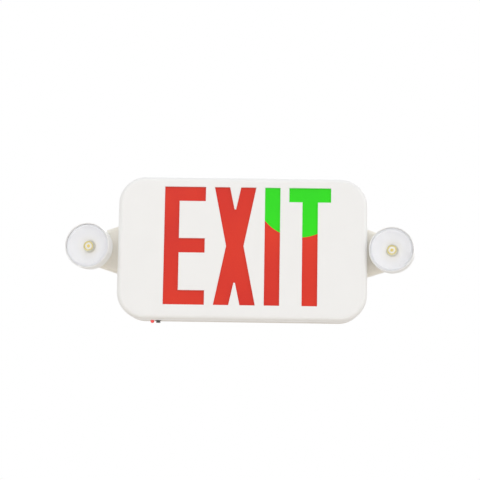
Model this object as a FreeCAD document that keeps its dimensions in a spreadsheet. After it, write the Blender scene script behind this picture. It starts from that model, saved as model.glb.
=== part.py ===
import FreeCAD, Part
import math
import os
import re
import Sketcher

# Wall-fixed emergency exit light with two adjustable lamp heads, in millimetres.
# X runs to the right, Y into the wall and Z up. The origin is the middle of the housing's
# back face, on the wall. Depths in the sheet are distances in front of the wall, along -Y.

SIZES = (
    ("housing_width", 320, "housing, overall width"),
    ("housing_height", 184, "housing, overall height"),
    ("housing_depth", 48, "wall to the front of the cover"),
    ("housing_corner", 35, "corner radius of the housing's outline"),
    ("housing_wall", 2.4, "moulded wall of tray, cover and horns"),
    ("tray_depth", 30, "wall to the parting line of tray and cover"),
    ("tray_inset", 1.2, "how far the cover's rim stands out over the tray's sides"),
    ("face_round", 6, "rounding of the cover's front edge"),
    ("lip_wall", 1.6, "cover's locating lip, thickness"),
    ("lip_length", 4, "cover's locating lip, reach into the tray"),
    ("lip_gap", 0.2, "clearance round the lip"),
    ("latch_offset", 90, "latches, distance from the middle"),
    ("latch_width", 12, "latch hook, width"),
    ("latch_bite", 0.9, "latch hook, reach into the tray's wall"),
    ("pry_depth", 1.2, "depth of the pry notch under the cover"),
    ("pry_height", 2.4, "pry notch, size along the depth"),
    ("entry_radius", 11, "supply entry in the back"),
    ("entry_up", 20, "supply entry, height above the middle"),
    ("box_spacing", 88.9, "screw holes for a junction box"),
    ("wall_spacing", 260, "screw holes for a bare wall"),
    ("wall_rise", 62, "wall screw holes above the middle"),
    ("screw_hole", 2.3, "radius of the mounting screw holes"),
    ("rib_height", 4, "stiffening ribs on the back, height"),
    ("rib_thick", 1.6, "stiffening ribs, thickness"),
    ("rib_across", 30, "stiffening ribs, distance from the middle"),
    ("legend_left_edge", 53.1, "housing's left side to the legend panel"),
    ("legend_right_edge", 40.9, "legend panel to the housing's right side"),
    ("legend_low_edge", 13, "housing's underside to the legend panel"),
    ("legend_top_edge", 7, "legend panel to the housing's top"),
    ("panel_thick", 0.8, "legend panels, thickness"),
    ("diffuser_thick", 1, "diffuser sheet, thickness"),
    ("green_side", 46.4, "middle of the green field to the panel's right edge"),
    ("green_drop", 12.9, "middle of the green field to the panel's top"),
    ("green_radius", 56.8, "radius of the green field"),
    ("chamber_stand", 27.8, "wall to the back of the light chamber"),
    ("chamber_slope", 12, "how far the chamber's walls lean in"),
    ("chamber_sheet", 1.2, "reflector tray, sheet thickness"),
    ("post_side", 23, "upper tray posts, distance from the panel's sides"),
    ("post_edge", 35, "tray posts, distance from the panel's top and foot"),
    ("post_board_gap", 16.1, "main board to the lower left tray post"),
    ("post_battery_gap", 7.9, "lower right tray post to the battery pack"),
    ("post_radius", 3.6, "posts and standoffs, radius"),
    ("screw_radius", 1.4, "small screws, shank radius"),
    ("screw_head", 2.8, "small screws, head radius"),
    ("head_height", 1.8, "small screws, head height"),
    ("strip_end", 1, "light strips' ends to the sides of the chamber's floor"),
    ("strip_width", 8, "light strips, width"),
    ("strip_thick", 1.2, "light strips, thickness"),
    ("strip_edge", 8, "light strips' middle to the edge of the chamber's floor"),
    ("diode_count", 10, "diodes on each strip"),
    ("diode_end", 14.5, "end diodes' middle to the strips' ends"),
    ("diode_length", 3.5, "diode package, length"),
    ("diode_width", 2.8, "diode package, width"),
    ("diode_height", 1.4, "diode package, height"),
    ("board_side", 22, "housing's left side to the main board"),
    ("board_width", 84, "main board, width"),
    ("board_rise", 8, "housing's underside to the main board"),
    ("board_height", 60, "main board, height"),
    ("board_gap", 6, "main board, height above the back"),
    ("board_thick", 1.6, "main board, thickness"),
    ("board_inset", 5, "board screws, distance from the edges"),
    ("core_side", 12, "transformer core to the board's right edge"),
    ("core_drop", 4, "transformer core to the board's top edge"),
    ("core_width", 32, "transformer core, width"),
    ("core_height", 27, "transformer core, height"),
    ("core_stack", 9, "transformer core, stack of laminations"),
    ("core_limb", 5.5, "transformer core, outer limb"),
    ("core_raise", 2.5, "transformer core, height above the board"),
    ("capacitor_radius", 4.5, "capacitors, radius"),
    ("capacitor_height", 13, "capacitors, height"),
    ("capacitor_pitch", 11, "capacitors, spacing"),
    ("capacitor_side", 10, "first capacitor's middle to the board's left edge"),
    ("capacitor_rise", 32, "capacitors' middle to the board's lower edge"),
    ("terminal_side", 12, "terminal block to the board's left edge"),
    ("terminal_drop", 3, "terminal block to the board's top edge"),
    ("terminal_width", 16, "terminal block, width"),
    ("terminal_height", 10, "terminal block, height"),
    ("terminal_depth", 9, "terminal block, depth"),
    ("cell_radius", 7.25, "battery cell, radius"),
    ("cell_length", 50, "battery cell, length"),
    ("battery_side", 52, "battery pack to the housing's right side"),
    ("battery_rise", 13.5, "housing's underside to the battery pack"),
    ("strap_width", 12, "battery strap, width"),
    ("strap_thick", 1.2, "battery strap, thickness"),
    ("strap_foot", 9, "battery strap, length of each foot"),
    ("strap_boss", 4, "bosses below the strap's feet, height"),
    ("button_side", 52, "housing's left side to the test button's middle"),
    ("button_radius", 2.8, "test button, radius"),
    ("button_proud", 3.4, "test button, reach below the housing"),
    ("button_travel", 1.2, "test button, travel"),
    ("button_gap", 0.05, "running clearance of the test button"),
    ("button_flange", 1.2, "flange of the button, thickness and overlap"),
    ("bush_wall", 0.6, "button's bush, wall"),
    ("bush_flange", 0.5, "button's bush, thickness and overlap of its flange"),
    ("pilot_spacing", 7.7, "status light's middle to the test button's"),
    ("pilot_radius", 2.5, "status light, radius"),
    ("pilot_proud", 3.6, "status light, reach below the housing"),
    ("pilot_flange", 1, "flange of the status light"),
    ("holder_height", 7, "status light's holder, height"),
    ("switch_size", 6, "test switch, side of its body"),
    ("rest_gap", 0.3, "clearance between a moving piece and its stop"),
    ("selector_side", 58, "selector switch to the board's left edge"),
    ("selector_rise", 6, "selector switch to the board's lower edge"),
    ("selector_length", 10, "selector switch, length"),
    ("selector_width", 5, "selector switch, width"),
    ("selector_depth", 4, "selector switch, height above the board"),
    ("selector_travel", 2.5, "selector, travel of its slider"),
    ("slider_length", 3.4, "selector slider, length"),
    ("slider_width", 2, "selector slider, width"),
    ("slider_proud", 2, "selector slider, reach above its body"),
    ("slider_gap", 0.1, "selector slider, clearance at each side"),
    ("head_clear", 5, "clearance between the housing's side and a lamp head facing forward"),
    ("horn_back", 4, "wall to the back of the horns"),
    ("horn_front", 26, "wall to the front of the horns at the housing"),
    ("tip_front", 19, "wall to the front of the horns at the swivel"),
    ("tip_radius", 19, "rounded end of the horns"),
    ("horn_taper", 18, "taper of the horns' edges, in degrees"),
    ("horn_round", 5, "rounding of the horns' front edges"),
    ("horn_side_wall", 3.4, "horns' upper and lower walls at the housing"),
    ("horn_screw_up", 20, "horn screws, distance from the middle"),
    ("horn_screw_depth", 15, "horn screws, distance from the wall"),
    ("horn_boss_length", 10, "screw bosses in the horns, length"),
    ("cap_thick", 1.6, "cap behind each horn, thickness"),
    ("cap_gap", 0.1, "clearance round each cap"),
    ("lead_radius", 5, "way for the lamp lead, radius"),
    ("stem_radius", 6, "swivel stem, radius"),
    ("stem_gap", 0.05, "running clearance of the swivel stem"),
    ("stem_hole_radius", 3, "lead way through the stem, radius"),
    ("base_radius", 12, "swivel base, radius"),
    ("base_thick", 2.5, "swivel base, thickness"),
    ("seat_gap", 1, "clearance round the swivel base's seat"),
    ("clip_thick", 1, "retaining clip, thickness"),
    ("clip_radius", 8.5, "retaining clip, outer radius"),
    ("clip_opening", 6, "retaining clip, width of its mouth"),
    ("groove_depth", 1, "depth of the clip's groove"),
    ("ear_thick", 3, "ears of the swivel, thickness"),
    ("ear_radius", 4.6, "ears of the swivel, radius"),
    ("tilt_stand", 31.5, "wall to the tilt axis"),
    ("pin_radius", 1.5, "tilt pin, radius"),
    ("pin_head", 2.4, "tilt pin's head, radius"),
    ("pin_gap", 0.05, "running clearance of the tilt pin"),
    ("lug_width", 9.4, "lug of the lamp head, width"),
    ("lug_radius", 4.2, "lug of the lamp head, radius"),
    ("lug_gap", 0.3, "clearance each side of the lug"),
    ("left_turn", -9.5, "turn of the left head about its tilt axis, in degrees"),
    ("right_turn", -9.5, "turn of the right head about its tilt axis, in degrees"),
    ("head_radius", 29, "lamp head, radius"),
    ("head_depth", 22, "lamp head, depth"),
    ("head_gap", 5, "tilt axis to the back of the head"),
    ("head_wall", 2.2, "lamp head, wall"),
    ("head_round", 3.5, "rounding of the head's back edge"),
    ("bezel_depth", 3, "lens bezel, depth"),
    ("bezel_lip", 3.2, "lens bezel, width of its front"),
    ("bezel_round", 1.2, "lens bezel, rounding of the front edges"),
    ("lens_thick", 1.6, "lens, thickness"),
    ("lens_gap", 0.1, "clearance round the lens"),
    ("bowl_sheet", 1.2, "reflector bowl, thickness"),
    ("bowl_foot", 8, "reflector bowl, inner radius at its foot"),
    ("bowl_curve", 30, "reflector bowl, radius of its curve"),
    ("lamp_board_radius", 10.5, "lamp board, radius"),
    ("lamp_board_thick", 1.6, "lamp board, thickness"),
    ("lamp_boss_height", 2.5, "bosses below the lamp board, height"),
    ("lamp_boss_across", 7, "bosses below the lamp board, from the middle"),
    ("emitter_side", 5, "lamp diode, side of its package"),
    ("emitter_height", 1.2, "lamp diode, height of its package"),
    ("dome_radius", 2, "lamp diode, radius of its dome"),
    ("optic_radius", 6.4, "centre optic, front radius"),
    ("optic_foot", 4.4, "centre optic, radius at its foot"),
    ("optic_bore_radius", 3.75, "centre optic, radius of the hollow over the diode"),
    ("optic_height", 8, "centre optic, height"),
)

FRONT_INSIDE = "(housing_depth - housing_wall)"
PANEL_BACK = f"({FRONT_INSIDE} - panel_thick)"
CHAMBER_RIM = f"({PANEL_BACK} - diffuser_thick)"
CHAMBER_FLOOR = "chamber_stand"
STRIP_BACK = "(chamber_stand + chamber_sheet)"
LEGEND_LEFT = "(legend_left_edge - housing_width / 2)"
LEGEND_RIGHT = "(housing_width / 2 - legend_right_edge)"
LEGEND_LOW = "(legend_low_edge - housing_height / 2)"
LEGEND_HIGH = "(housing_height / 2 - legend_top_edge)"
BOARD_LEFT = "(board_side - housing_width / 2)"
BOARD_RIGHT = f"({BOARD_LEFT} + board_width)"
BOARD_LOW = "(board_rise - housing_height / 2)"
BOARD_HIGH = f"({BOARD_LOW} + board_height)"
BOARD_BACK = "(housing_wall + board_gap)"
BOARD_FRONT = f"({BOARD_BACK} + board_thick)"
TRAY_SIDE = "(housing_width / 2 - tray_inset)"
UNDERSIDE = "(tray_inset - housing_height / 2)"
WALL_INSIDE = f"(-{UNDERSIDE} - housing_wall)"
CONTROL_DEPTH = f"({BOARD_FRONT} + switch_size / 2)"
BATTERY_LEFT = "(housing_width / 2 - battery_side - cell_length)"
BATTERY_LOW = "(battery_rise - housing_height / 2)"
BATTERY_HIGH = f"({BATTERY_LOW} + 6 * cell_radius)"
BATTERY_FRONT = "(housing_wall + 2 * cell_radius)"
STRAP_REST = "(housing_wall + strap_boss)"
STRAP_ACROSS = f"({BATTERY_LEFT} + cell_length / 2)"
BUTTON_ACROSS = "(button_side - housing_width / 2)"
PILOT_ACROSS = f"({BUTTON_ACROSS} - pilot_spacing)"
SWIVEL_REACH = "(housing_width / 2 + head_clear + head_radius)"
HORN_TAN = "tan(horn_taper * 1 deg)"
HORN_COS = "cos(horn_taper * 1 deg)"
HORN_SIN = "sin(horn_taper * 1 deg)"
HORN_HALF = f"((tray_inset + head_clear + head_radius) * {HORN_TAN} + tip_radius / {HORN_COS})"
SIDES = (("left", -1), ("right", 1))

nodes = []
document = FreeCAD.newDocument("emergency_exit_light")
sheet = document.addObject("Spreadsheet::Sheet", "sizes")
for row, (alias, amount, meaning) in enumerate(SIZES, start=1):
    sheet.set(f"A{row}", meaning)
    sheet.set(f"B{row}", str(amount))
    sheet.setAlias(f"B{row}", alias)
gauge = document.addObject("App::FeaturePython", "gauge")
gauge.addProperty("App::PropertyFloat", "reading")
document.recompute()


def bound(formula):
    """Points every size named in a formula at its cell in the sheet."""
    return re.sub(r"\b[a-z]+(?:_[a-z]+)+\b", r"sizes.\g<0>", str(formula))


def bind(thing, setting, formula):
    thing.setExpression(setting, bound(formula))


def number(formula):
    """Present value of a formula, for a sketch's first shape and for finding edges."""
    bind(gauge, "reading", formula)
    gauge.recompute()
    return gauge.reading


# Sketches. Each point and radius is a named constraint that follows its formula.

def new_body(label):
    body = document.addObject("PartDesign::Body", label)
    body.Label = label
    nodes.append(body)
    return body


def new_sketch(body, plane, offset="0"):
    """Sketch on an origin plane: "front" looks along Y, "floor" along Z, "side" along X."""
    role = {"front": "XZ_Plane", "floor": "XY_Plane", "side": "YZ_Plane"}[plane]
    origin_plane = next(item for item in body.Origin.OriginFeatures if item.Role == role)
    sketch = body.newObject("Sketcher::SketchObject", f"{body.Name}_sketch")
    sketch.AttachmentSupport = (origin_plane, [""])
    sketch.MapMode = "FlatFace"
    bind(sketch, "AttachmentOffset.Base.z", offset)
    return sketch


def constrain(sketch, kind, place, formula):
    index = sketch.addConstraint(Sketcher.Constraint(kind, *place, number(formula)))
    name = f"{kind.lower()}_{index}"
    sketch.renameConstraint(index, name)
    bind(sketch, f"Constraints.{name}", formula)


def locate(sketch, element, point, across, upward):
    constrain(sketch, "DistanceX", (-1, 1, element, point), across)
    constrain(sketch, "DistanceY", (-1, 1, element, point), upward)


def circle(sketch, radius, across="0", upward="0"):
    middle = FreeCAD.Vector(number(across), number(upward), 0)
    ring = Part.Circle(middle, FreeCAD.Vector(0, 0, 1), number(radius))
    element = sketch.addGeometry(ring, False)
    constrain(sketch, "Radius", (element,), radius)
    locate(sketch, element, 3, across, upward)


def polygon(sketch, corners):
    """Closed outline. A corner with a radius and a turn starts an arc, the others a straight line."""
    places = [FreeCAD.Vector(number(corner[0]), number(corner[1]), 0) for corner in corners]
    elements = []
    for corner, start, end in zip(corners, places, places[1:] + places[:1]):
        if len(corner) == 2:
            elements.append((sketch.addGeometry(Part.LineSegment(start, end), False), 1, 2))
        else:
            elements.append(bend(sketch, start, end, *corner[2:]))
    for (element, _, last), (following, first, _) in zip(elements, elements[1:] + elements[:1]):
        sketch.addConstraint(Sketcher.Constraint("Coincident", element, last, following, first))
    for (element, first, _), corner in zip(elements, corners):
        locate(sketch, element, first, corner[0], corner[1])


def bend(sketch, start, end, radius, turn):
    """Arc from start to end that turns left or right; gives it with its first and last point."""
    if turn == "right":
        element, first, last = bend(sketch, end, start, radius, "left")
        return element, last, first
    chord = end - start
    square = FreeCAD.Vector(-chord.y, chord.x, 0).normalize()
    middle = (start + end) * 0.5 + square * (number(radius) ** 2 - (chord.Length / 2) ** 2) ** 0.5
    ring = Part.Circle(middle, FreeCAD.Vector(0, 0, 1), number(radius))
    arc = Part.ArcOfCircle(ring, ring.parameter(start), ring.parameter(end))
    element = sketch.addGeometry(arc, False)
    constrain(sketch, "Radius", (element,), radius)
    return element, 1, 2


def rounded(sketch, left, right, low, high, corner, sharp=()):
    """Upright rectangle with rounded corners, apart from the corners named in sharp."""
    ends = (("low_left", left, low, 1, 1, 180), ("low_right", right, low, -1, 1, 270),
            ("high_right", right, high, -1, -1, 0), ("high_left", left, high, 1, -1, 90))
    starts, stops, arcs = [], [], []
    for name, across, upward, inward, rise, angle in ends:
        if name in sharp:
            spot = FreeCAD.Vector(number(across), number(upward), 0)
            starts.append(spot)
            stops.append(spot)
            arcs.append(None)
            continue
        middle_across = f"({across}) + {inward} * ({corner})"
        middle_upward = f"({upward}) + {rise} * ({corner})"
        middle = FreeCAD.Vector(number(middle_across), number(middle_upward), 0)
        ring = Part.Circle(middle, FreeCAD.Vector(0, 0, 1), number(corner))
        turn = FreeCAD.Units.Quantity(f"{angle} deg").getValueAs("rad").Value
        quarter = FreeCAD.Units.Quantity("90 deg").getValueAs("rad").Value
        arc = sketch.addGeometry(Part.ArcOfCircle(ring, turn, turn + quarter), False)
        starts.append(ring.value(turn))
        stops.append(ring.value(turn + quarter))
        arcs.append((arc, middle_across, middle_upward))
    lines = [sketch.addGeometry(Part.LineSegment(stop, start), False)
             for stop, start in zip(stops, starts[1:] + starts[:1])]
    for index, (name, across, upward, _, _, _) in enumerate(ends):
        before, after = lines[index - 1], lines[index]
        if arcs[index] is None:
            sketch.addConstraint(Sketcher.Constraint("Coincident", before, 2, after, 1))
            locate(sketch, after, 1, across, upward)
            continue
        arc, middle_across, middle_upward = arcs[index]
        locate(sketch, arc, 3, middle_across, middle_upward)
        constrain(sketch, "Radius", (arc,), corner)
        sketch.addConstraint(Sketcher.Constraint("Tangent", before, 2, arc, 1))
        sketch.addConstraint(Sketcher.Constraint("Tangent", arc, 2, after, 1))


# Features of a body.

def pad(body, sketch, length, both_ways=False, backward=False):
    feature = body.newObject("PartDesign::Pad", f"{body.Name}_pad")
    feature.Profile = sketch
    feature.SideType = "Symmetric" if both_ways else "One side"
    feature.Reversed = backward
    bind(feature, "Length", length)
    return feature


def pocket(body, sketch, length, both_ways=False, forward=False):
    feature = body.newObject("PartDesign::Pocket", f"{body.Name}_pocket")
    feature.Profile = sketch
    feature.SideType = "Symmetric" if both_ways else "One side"
    feature.Reversed = forward
    bind(feature, "Length", length)
    return feature


def revolve(body, corners):
    """Turned piece about its Y axis; the profile's corners are (radius, place along Y)."""
    sketch = new_sketch(body, "floor")
    polygon(sketch, corners)
    feature = body.newObject("PartDesign::Revolution", f"{body.Name}_turned")
    feature.Profile = sketch
    feature.ReferenceAxis = (sketch, ["V_Axis"])
    feature.Angle = 360
    return feature


def loft(body, first, last, adding=True):
    kind = "AdditiveLoft" if adding else "SubtractiveLoft"
    feature = body.newObject(f"PartDesign::{kind}", f"{body.Name}_loft")
    feature.Profile = first
    feature.Sections = [last]
    feature.Ruled = True
    return feature


def fillet(body, feature, radius, chosen):
    """Rounds the edges of a feature whose points all pass the test."""
    document.recompute()
    names = []
    for index, edge in enumerate(feature.Shape.Edges, start=1):
        first, last = edge.ParameterRange
        points = [edge.valueAt(first + (last - first) * share) for share in (0, 0.37, 0.5, 1)]
        if all(chosen(point) for point in points):
            names.append(f"Edge{index}")
    rounding = body.newObject("PartDesign::Fillet", f"{body.Name}_round")
    rounding.Base = (feature, names)
    bind(rounding, "Radius", radius)
    return rounding


def at_depth(depth, within=lambda point: True):
    """Test for points at one distance in front of the wall."""
    place = -number(depth)
    return lambda point: abs(point.y - place) < 0.01 and within(point)


# Primitives and booleans.

def put(thing, across, along, upward):
    bind(thing, "Placement.Base.x", across)
    bind(thing, "Placement.Base.y", along)
    bind(thing, "Placement.Base.z", upward)
    return thing


def box(name, left, right, back, front, low, high):
    """Block between two depths in front of the wall."""
    block = document.addObject("Part::Box", name)
    bind(block, "Length", f"({right}) - ({left})")
    bind(block, "Width", f"({front}) - ({back})")
    bind(block, "Height", f"({high}) - ({low})")
    return put(block, left, f"-({front})", low)


TURNS = {
    "forward": FreeCAD.Rotation(FreeCAD.Vector(1, 0, 0), 90),
    "up": FreeCAD.Rotation(),
    "right": FreeCAD.Rotation(FreeCAD.Vector(0, 1, 0), 90),
    "left": FreeCAD.Rotation(FreeCAD.Vector(0, 1, 0), -90),
}


def cylinder(name, radius, length, across, depth, upward, way="forward"):
    rod = document.addObject("Part::Cylinder", name)
    bind(rod, "Radius", radius)
    bind(rod, "Height", length)
    rod.Placement = FreeCAD.Placement(FreeCAD.Vector(), TURNS[way])
    return put(rod, across, f"-({depth})", upward)


def cut(name, base, tool):
    result = document.addObject("Part::Cut", name)
    result.Base = base
    result.Tool = tool
    return result


def fuse(name, shapes):
    result = document.addObject("Part::MultiFuse", name)
    result.Shapes = shapes
    return result


def group(name, shapes):
    """Separate solids of one kind, kept side by side."""
    result = document.addObject("Part::Compound", name)
    result.Links = shapes
    return node(result, name)


def node(thing, label):
    thing.Label = label
    nodes.append(thing)
    return thing


def screw(name, length, across, depth, upward, way="forward"):
    """Small screw; depth and the other places are those of the head's underside."""
    turn = TURNS[way].multVec(FreeCAD.Vector(0, 0, 1))
    start = [f"({place}) - ({length}) * {round(part)}"
             for place, part in ((across, turn.x), (f"-({depth})", turn.y), (upward, turn.z))]
    shank = cylinder(f"{name}_shank", "screw_radius", length, start[0], f"-({start[1]})", start[2], way)
    head = cylinder(f"{name}_top", "screw_head", "head_height", across, depth, upward, way)
    return fuse(name, [shank, head])


# Housing: a back tray and a snap-on cover that meet at the parting line.

def housing_loop(sketch, inset):
    half_width = f"housing_width / 2 - ({inset})"
    half_height = f"housing_height / 2 - ({inset})"
    rounded(sketch, f"-({half_width})", half_width, f"-({half_height})", half_height,
            f"housing_corner - ({inset})")


def post_places():
    high, low = f"{LEGEND_HIGH} - post_edge", f"{LEGEND_LOW} + post_edge"
    return ((f"{LEGEND_LEFT} + post_side", high), (f"{LEGEND_RIGHT} - post_side", high),
            (f"{BOARD_RIGHT} + post_board_gap", low), (f"{BATTERY_LEFT} - post_battery_gap", low))


def board_screw_places():
    left, right = f"{BOARD_LEFT} + board_inset", f"{BOARD_RIGHT} - board_inset"
    low, high = f"{BOARD_LOW} + board_inset", f"{BOARD_HIGH} - board_inset"
    return ((left, high), (right, high), (right, low), (left, low))


def strap_screw_places():
    return ((STRAP_ACROSS, f"{BATTERY_LOW} - strap_foot + post_radius"),
            (STRAP_ACROSS, f"{BATTERY_HIGH} + strap_foot - post_radius"))


def latch_outlines(body, depth, inner, outer, half):
    """Sketch at each of the four latches, from one distance inside the outline to another."""
    for edge in (-1, 1):
        for side in (-1, 1):
            sketch = new_sketch(body, "front", depth)
            near = f"{edge} * (-{UNDERSIDE} - ({inner}))"
            far = f"{edge} * (-{UNDERSIDE} - ({outer}))"
            start, end = f"{side} * latch_offset - ({half})", f"{side} * latch_offset + ({half})"
            polygon(sketch, ((start, near), (end, near), (end, far), (start, far)))
            yield sketch


def make_back_housing():
    tray = new_body("back_housing")
    outline = new_sketch(tray, "front")
    housing_loop(outline, "tray_inset")
    pad(tray, outline, "tray_depth")
    hollow = new_sketch(tray, "front", "tray_depth")
    housing_loop(hollow, "tray_inset + housing_wall")
    pocket(tray, hollow, "tray_depth - housing_wall")

    posts = new_sketch(tray, "front", "housing_wall")
    for across, upward in post_places():
        circle(posts, "post_radius", across, upward)
    pad(tray, posts, f"{CHAMBER_FLOOR} - housing_wall")
    standoffs = new_sketch(tray, "front", "housing_wall")
    for across, upward in board_screw_places():
        circle(standoffs, "post_radius", across, upward)
    pad(tray, standoffs, "board_gap")
    bosses = new_sketch(tray, "front", "housing_wall")
    for across, upward in strap_screw_places():
        circle(bosses, "post_radius", across, upward)
    pad(tray, bosses, "strap_boss")
    for side in (-1, 1):
        rib = new_sketch(tray, "front", "housing_wall / 2")
        start, end = f"{side} * rib_across - rib_thick / 2", f"{side} * rib_across + rib_thick / 2"
        low, high = f"-{WALL_INSIDE} - housing_wall / 2", f"{WALL_INSIDE} + housing_wall / 2"
        polygon(rib, ((start, low), (end, low), (end, high), (start, high)))
        pad(tray, rib, "housing_wall / 2 + rib_height")

    for places, top in ((post_places(), CHAMBER_FLOOR), (board_screw_places(), BOARD_BACK),
                        (strap_screw_places(), STRAP_REST)):
        screw_ways = new_sketch(tray, "front", top)
        for across, upward in places:
            circle(screw_ways, "screw_radius", across, upward)
        pocket(tray, screw_ways, "strap_boss")
    fixings = new_sketch(tray, "front", "2 * housing_wall")
    circle(fixings, "entry_radius", "0", "entry_up")
    for side in (-1, 1):
        circle(fixings, "screw_hole", f"{side} * box_spacing / 2", "entry_up")
        circle(fixings, "screw_hole", f"{side} * wall_spacing / 2", "wall_rise")
    pocket(tray, fixings, "3 * housing_wall")
    controls = new_sketch(tray, "floor", f"-{WALL_INSIDE} + housing_wall")
    circle(controls, "button_radius + button_gap + bush_wall", BUTTON_ACROSS, f"-{CONTROL_DEPTH}")
    circle(controls, "pilot_radius", PILOT_ACROSS, f"-{CONTROL_DEPTH}")
    pocket(tray, controls, "3 * housing_wall")
    for _, side in SIDES:
        lead_ways = new_sketch(tray, "side", f"{side} * ({TRAY_SIDE} - 2 * housing_wall)")
        circle(lead_ways, "lead_radius", "-horn_screw_depth", "0")
        circle(lead_ways, "screw_radius", "-horn_screw_depth", "horn_screw_up")
        circle(lead_ways, "screw_radius", "-horn_screw_depth", "-horn_screw_up")
        pocket(tray, lead_ways, "3 * housing_wall", forward=side > 0)
    for window in latch_outlines(tray, "tray_depth - lip_length / 2 + lip_gap",
                                "housing_wall + lip_gap", "housing_wall - latch_bite - lip_gap",
                                "latch_width / 2 + lip_gap"):
        pocket(tray, window, "lip_length / 2 + 2 * lip_gap")


def make_front_cover():
    cover = new_body("front_cover")
    outline = new_sketch(cover, "front", "tray_depth")
    housing_loop(outline, "0")
    shell = pad(cover, outline, "housing_depth - tray_depth")
    fillet(cover, shell, "face_round", at_depth("housing_depth"))
    hollow = new_sketch(cover, "front", FRONT_INSIDE)
    housing_loop(hollow, "housing_wall")
    inside = pocket(cover, hollow, f"{FRONT_INSIDE} - tray_depth")
    fillet(cover, inside, "face_round - housing_wall", at_depth(FRONT_INSIDE))
    ledge = new_sketch(cover, "front", "tray_depth")
    housing_loop(ledge, "housing_wall / 2")
    housing_loop(ledge, "tray_inset + housing_wall + lip_gap + lip_wall")
    pad(cover, ledge, "lip_length / 2")
    lip = new_sketch(cover, "front", "tray_depth - lip_length")
    housing_loop(lip, "tray_inset + housing_wall + lip_gap")
    housing_loop(lip, "tray_inset + housing_wall + lip_gap + lip_wall")
    pad(cover, lip, "lip_length")
    for hook in latch_outlines(cover, "tray_depth - lip_length / 2",
                              "housing_wall + lip_gap + lip_wall / 2", "housing_wall - latch_bite",
                              "latch_width / 2"):
        pad(cover, hook, "lip_length / 2", backward=True)
    for side in (-1, 1):
        notch = new_sketch(cover, "front", "tray_depth + pry_height")
        start = f"{side} * latch_offset - latch_width / 2"
        end = f"{side} * latch_offset + latch_width / 2"
        outside = "-housing_height / 2 - housing_wall"
        roof = "-housing_height / 2 + pry_depth"
        polygon(notch, ((start, outside), (end, outside), (end, roof), (start, roof)))
        pocket(cover, notch, "pry_height")


# Light box: legend panels, diffuser, formed reflector tray and the two light strips.

def legend_field(name, back, front):
    return box(name, LEGEND_LEFT, LEGEND_RIGHT, back, front, LEGEND_LOW, LEGEND_HIGH)


def chamber_section(body, depth, inset):
    sketch = new_sketch(body, "front", depth)
    left, right = f"{LEGEND_LEFT} + ({inset})", f"{LEGEND_RIGHT} - ({inset})"
    low, high = f"{LEGEND_LOW} + ({inset})", f"{LEGEND_HIGH} - ({inset})"
    polygon(sketch, ((left, low), (right, low), (right, high), (left, high)))
    return sketch


def make_light_box():
    length = "2 * panel_thick"
    start = f"{PANEL_BACK} - panel_thick / 2"
    place = (f"{LEGEND_RIGHT} - green_side", start, f"{LEGEND_HIGH} - green_drop")
    red_bite = cylinder("red_bite", "green_radius", length, *place)
    green_disc = cylinder("green_disc", "green_radius", length, *place)
    red = cut("legend_panel_red", legend_field("red_field", PANEL_BACK, FRONT_INSIDE), red_bite)
    node(red, "legend_panel_red")
    green = document.addObject("Part::Common", "legend_panel_green")
    green.Base = legend_field("green_field", PANEL_BACK, FRONT_INSIDE)
    green.Tool = green_disc
    node(green, "legend_panel_green")
    node(legend_field("diffuser_sheet", CHAMBER_RIM, PANEL_BACK), "diffuser_sheet")

    tray = new_body("reflector_tray")
    loft(tray, chamber_section(tray, CHAMBER_FLOOR, "chamber_slope"),
         chamber_section(tray, CHAMBER_RIM, "0"))
    loft(tray, chamber_section(tray, STRIP_BACK, "chamber_slope + chamber_sheet / 2"),
         chamber_section(tray, f"({CHAMBER_RIM} + chamber_sheet)", "chamber_sheet / 2"), adding=False)
    ways = new_sketch(tray, "front", f"({STRIP_BACK} + chamber_sheet)")
    for across, upward in post_places():
        circle(ways, "screw_radius", across, upward)
    pocket(tray, ways, "3 * chamber_sheet")
    group("reflector_screws", [screw(f"reflector_screw_{index}", "chamber_sheet + strap_boss - rest_gap",
                                     across, STRIP_BACK, upward)
                               for index, (across, upward) in enumerate(post_places(), start=1)])

    make_strips()


def make_strips():
    """Two light strips along the chamber's floor, with red and green diodes by turns."""
    inset = "(chamber_slope + strip_end)"
    left, right = f"({LEGEND_LEFT} + {inset})", f"({LEGEND_RIGHT} - {inset})"
    edge = "(chamber_slope + strip_edge)"
    face = f"({STRIP_BACK} + strip_thick)"
    count = round(number("diode_count"))
    diodes = {"red_leds": [], "green_leds": []}
    for place, middle in (("top", f"({LEGEND_HIGH} - {edge})"), ("bottom", f"({LEGEND_LOW} + {edge})")):
        low, high = f"{middle} - strip_width / 2", f"{middle} + strip_width / 2"
        node(box(f"led_strip_{place}", left, right, STRIP_BACK, face, low, high), f"led_strip_{place}")
        for step in range(count):
            pitch = f"({right} - {left} - 2 * diode_end) / (diode_count - 1)"
            across = f"({left} + diode_end + {step} * {pitch})"
            colour = "green_leds" if step % 2 else "red_leds"
            diodes[colour].append(box(
                f"diode_{place}_{step + 1}", f"{across} - diode_length / 2", f"{across} + diode_length / 2",
                face, f"{face} + diode_height",
                f"{middle} - diode_width / 2", f"{middle} + diode_width / 2"))
    for label, members in diodes.items():
        group(label, members)


# Electronics: main board, its components, the battery and its strap.

def make_main_board():
    plate = box("board_plate", BOARD_LEFT, BOARD_RIGHT, BOARD_BACK, BOARD_FRONT, BOARD_LOW, BOARD_HIGH)
    ways = [cylinder(f"board_way_{index}", "screw_radius", "3 * board_thick", across,
                     f"{BOARD_BACK} - board_thick", upward)
            for index, (across, upward) in enumerate(board_screw_places(), start=1)]
    node(cut("main_board", plate, fuse("board_ways", ways)), "main_board")
    group("board_screws", [screw(f"board_screw_{index}", "board_thick + strap_boss - rest_gap",
                                 across, BOARD_FRONT, upward)
                           for index, (across, upward) in enumerate(board_screw_places(), start=1)])


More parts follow.
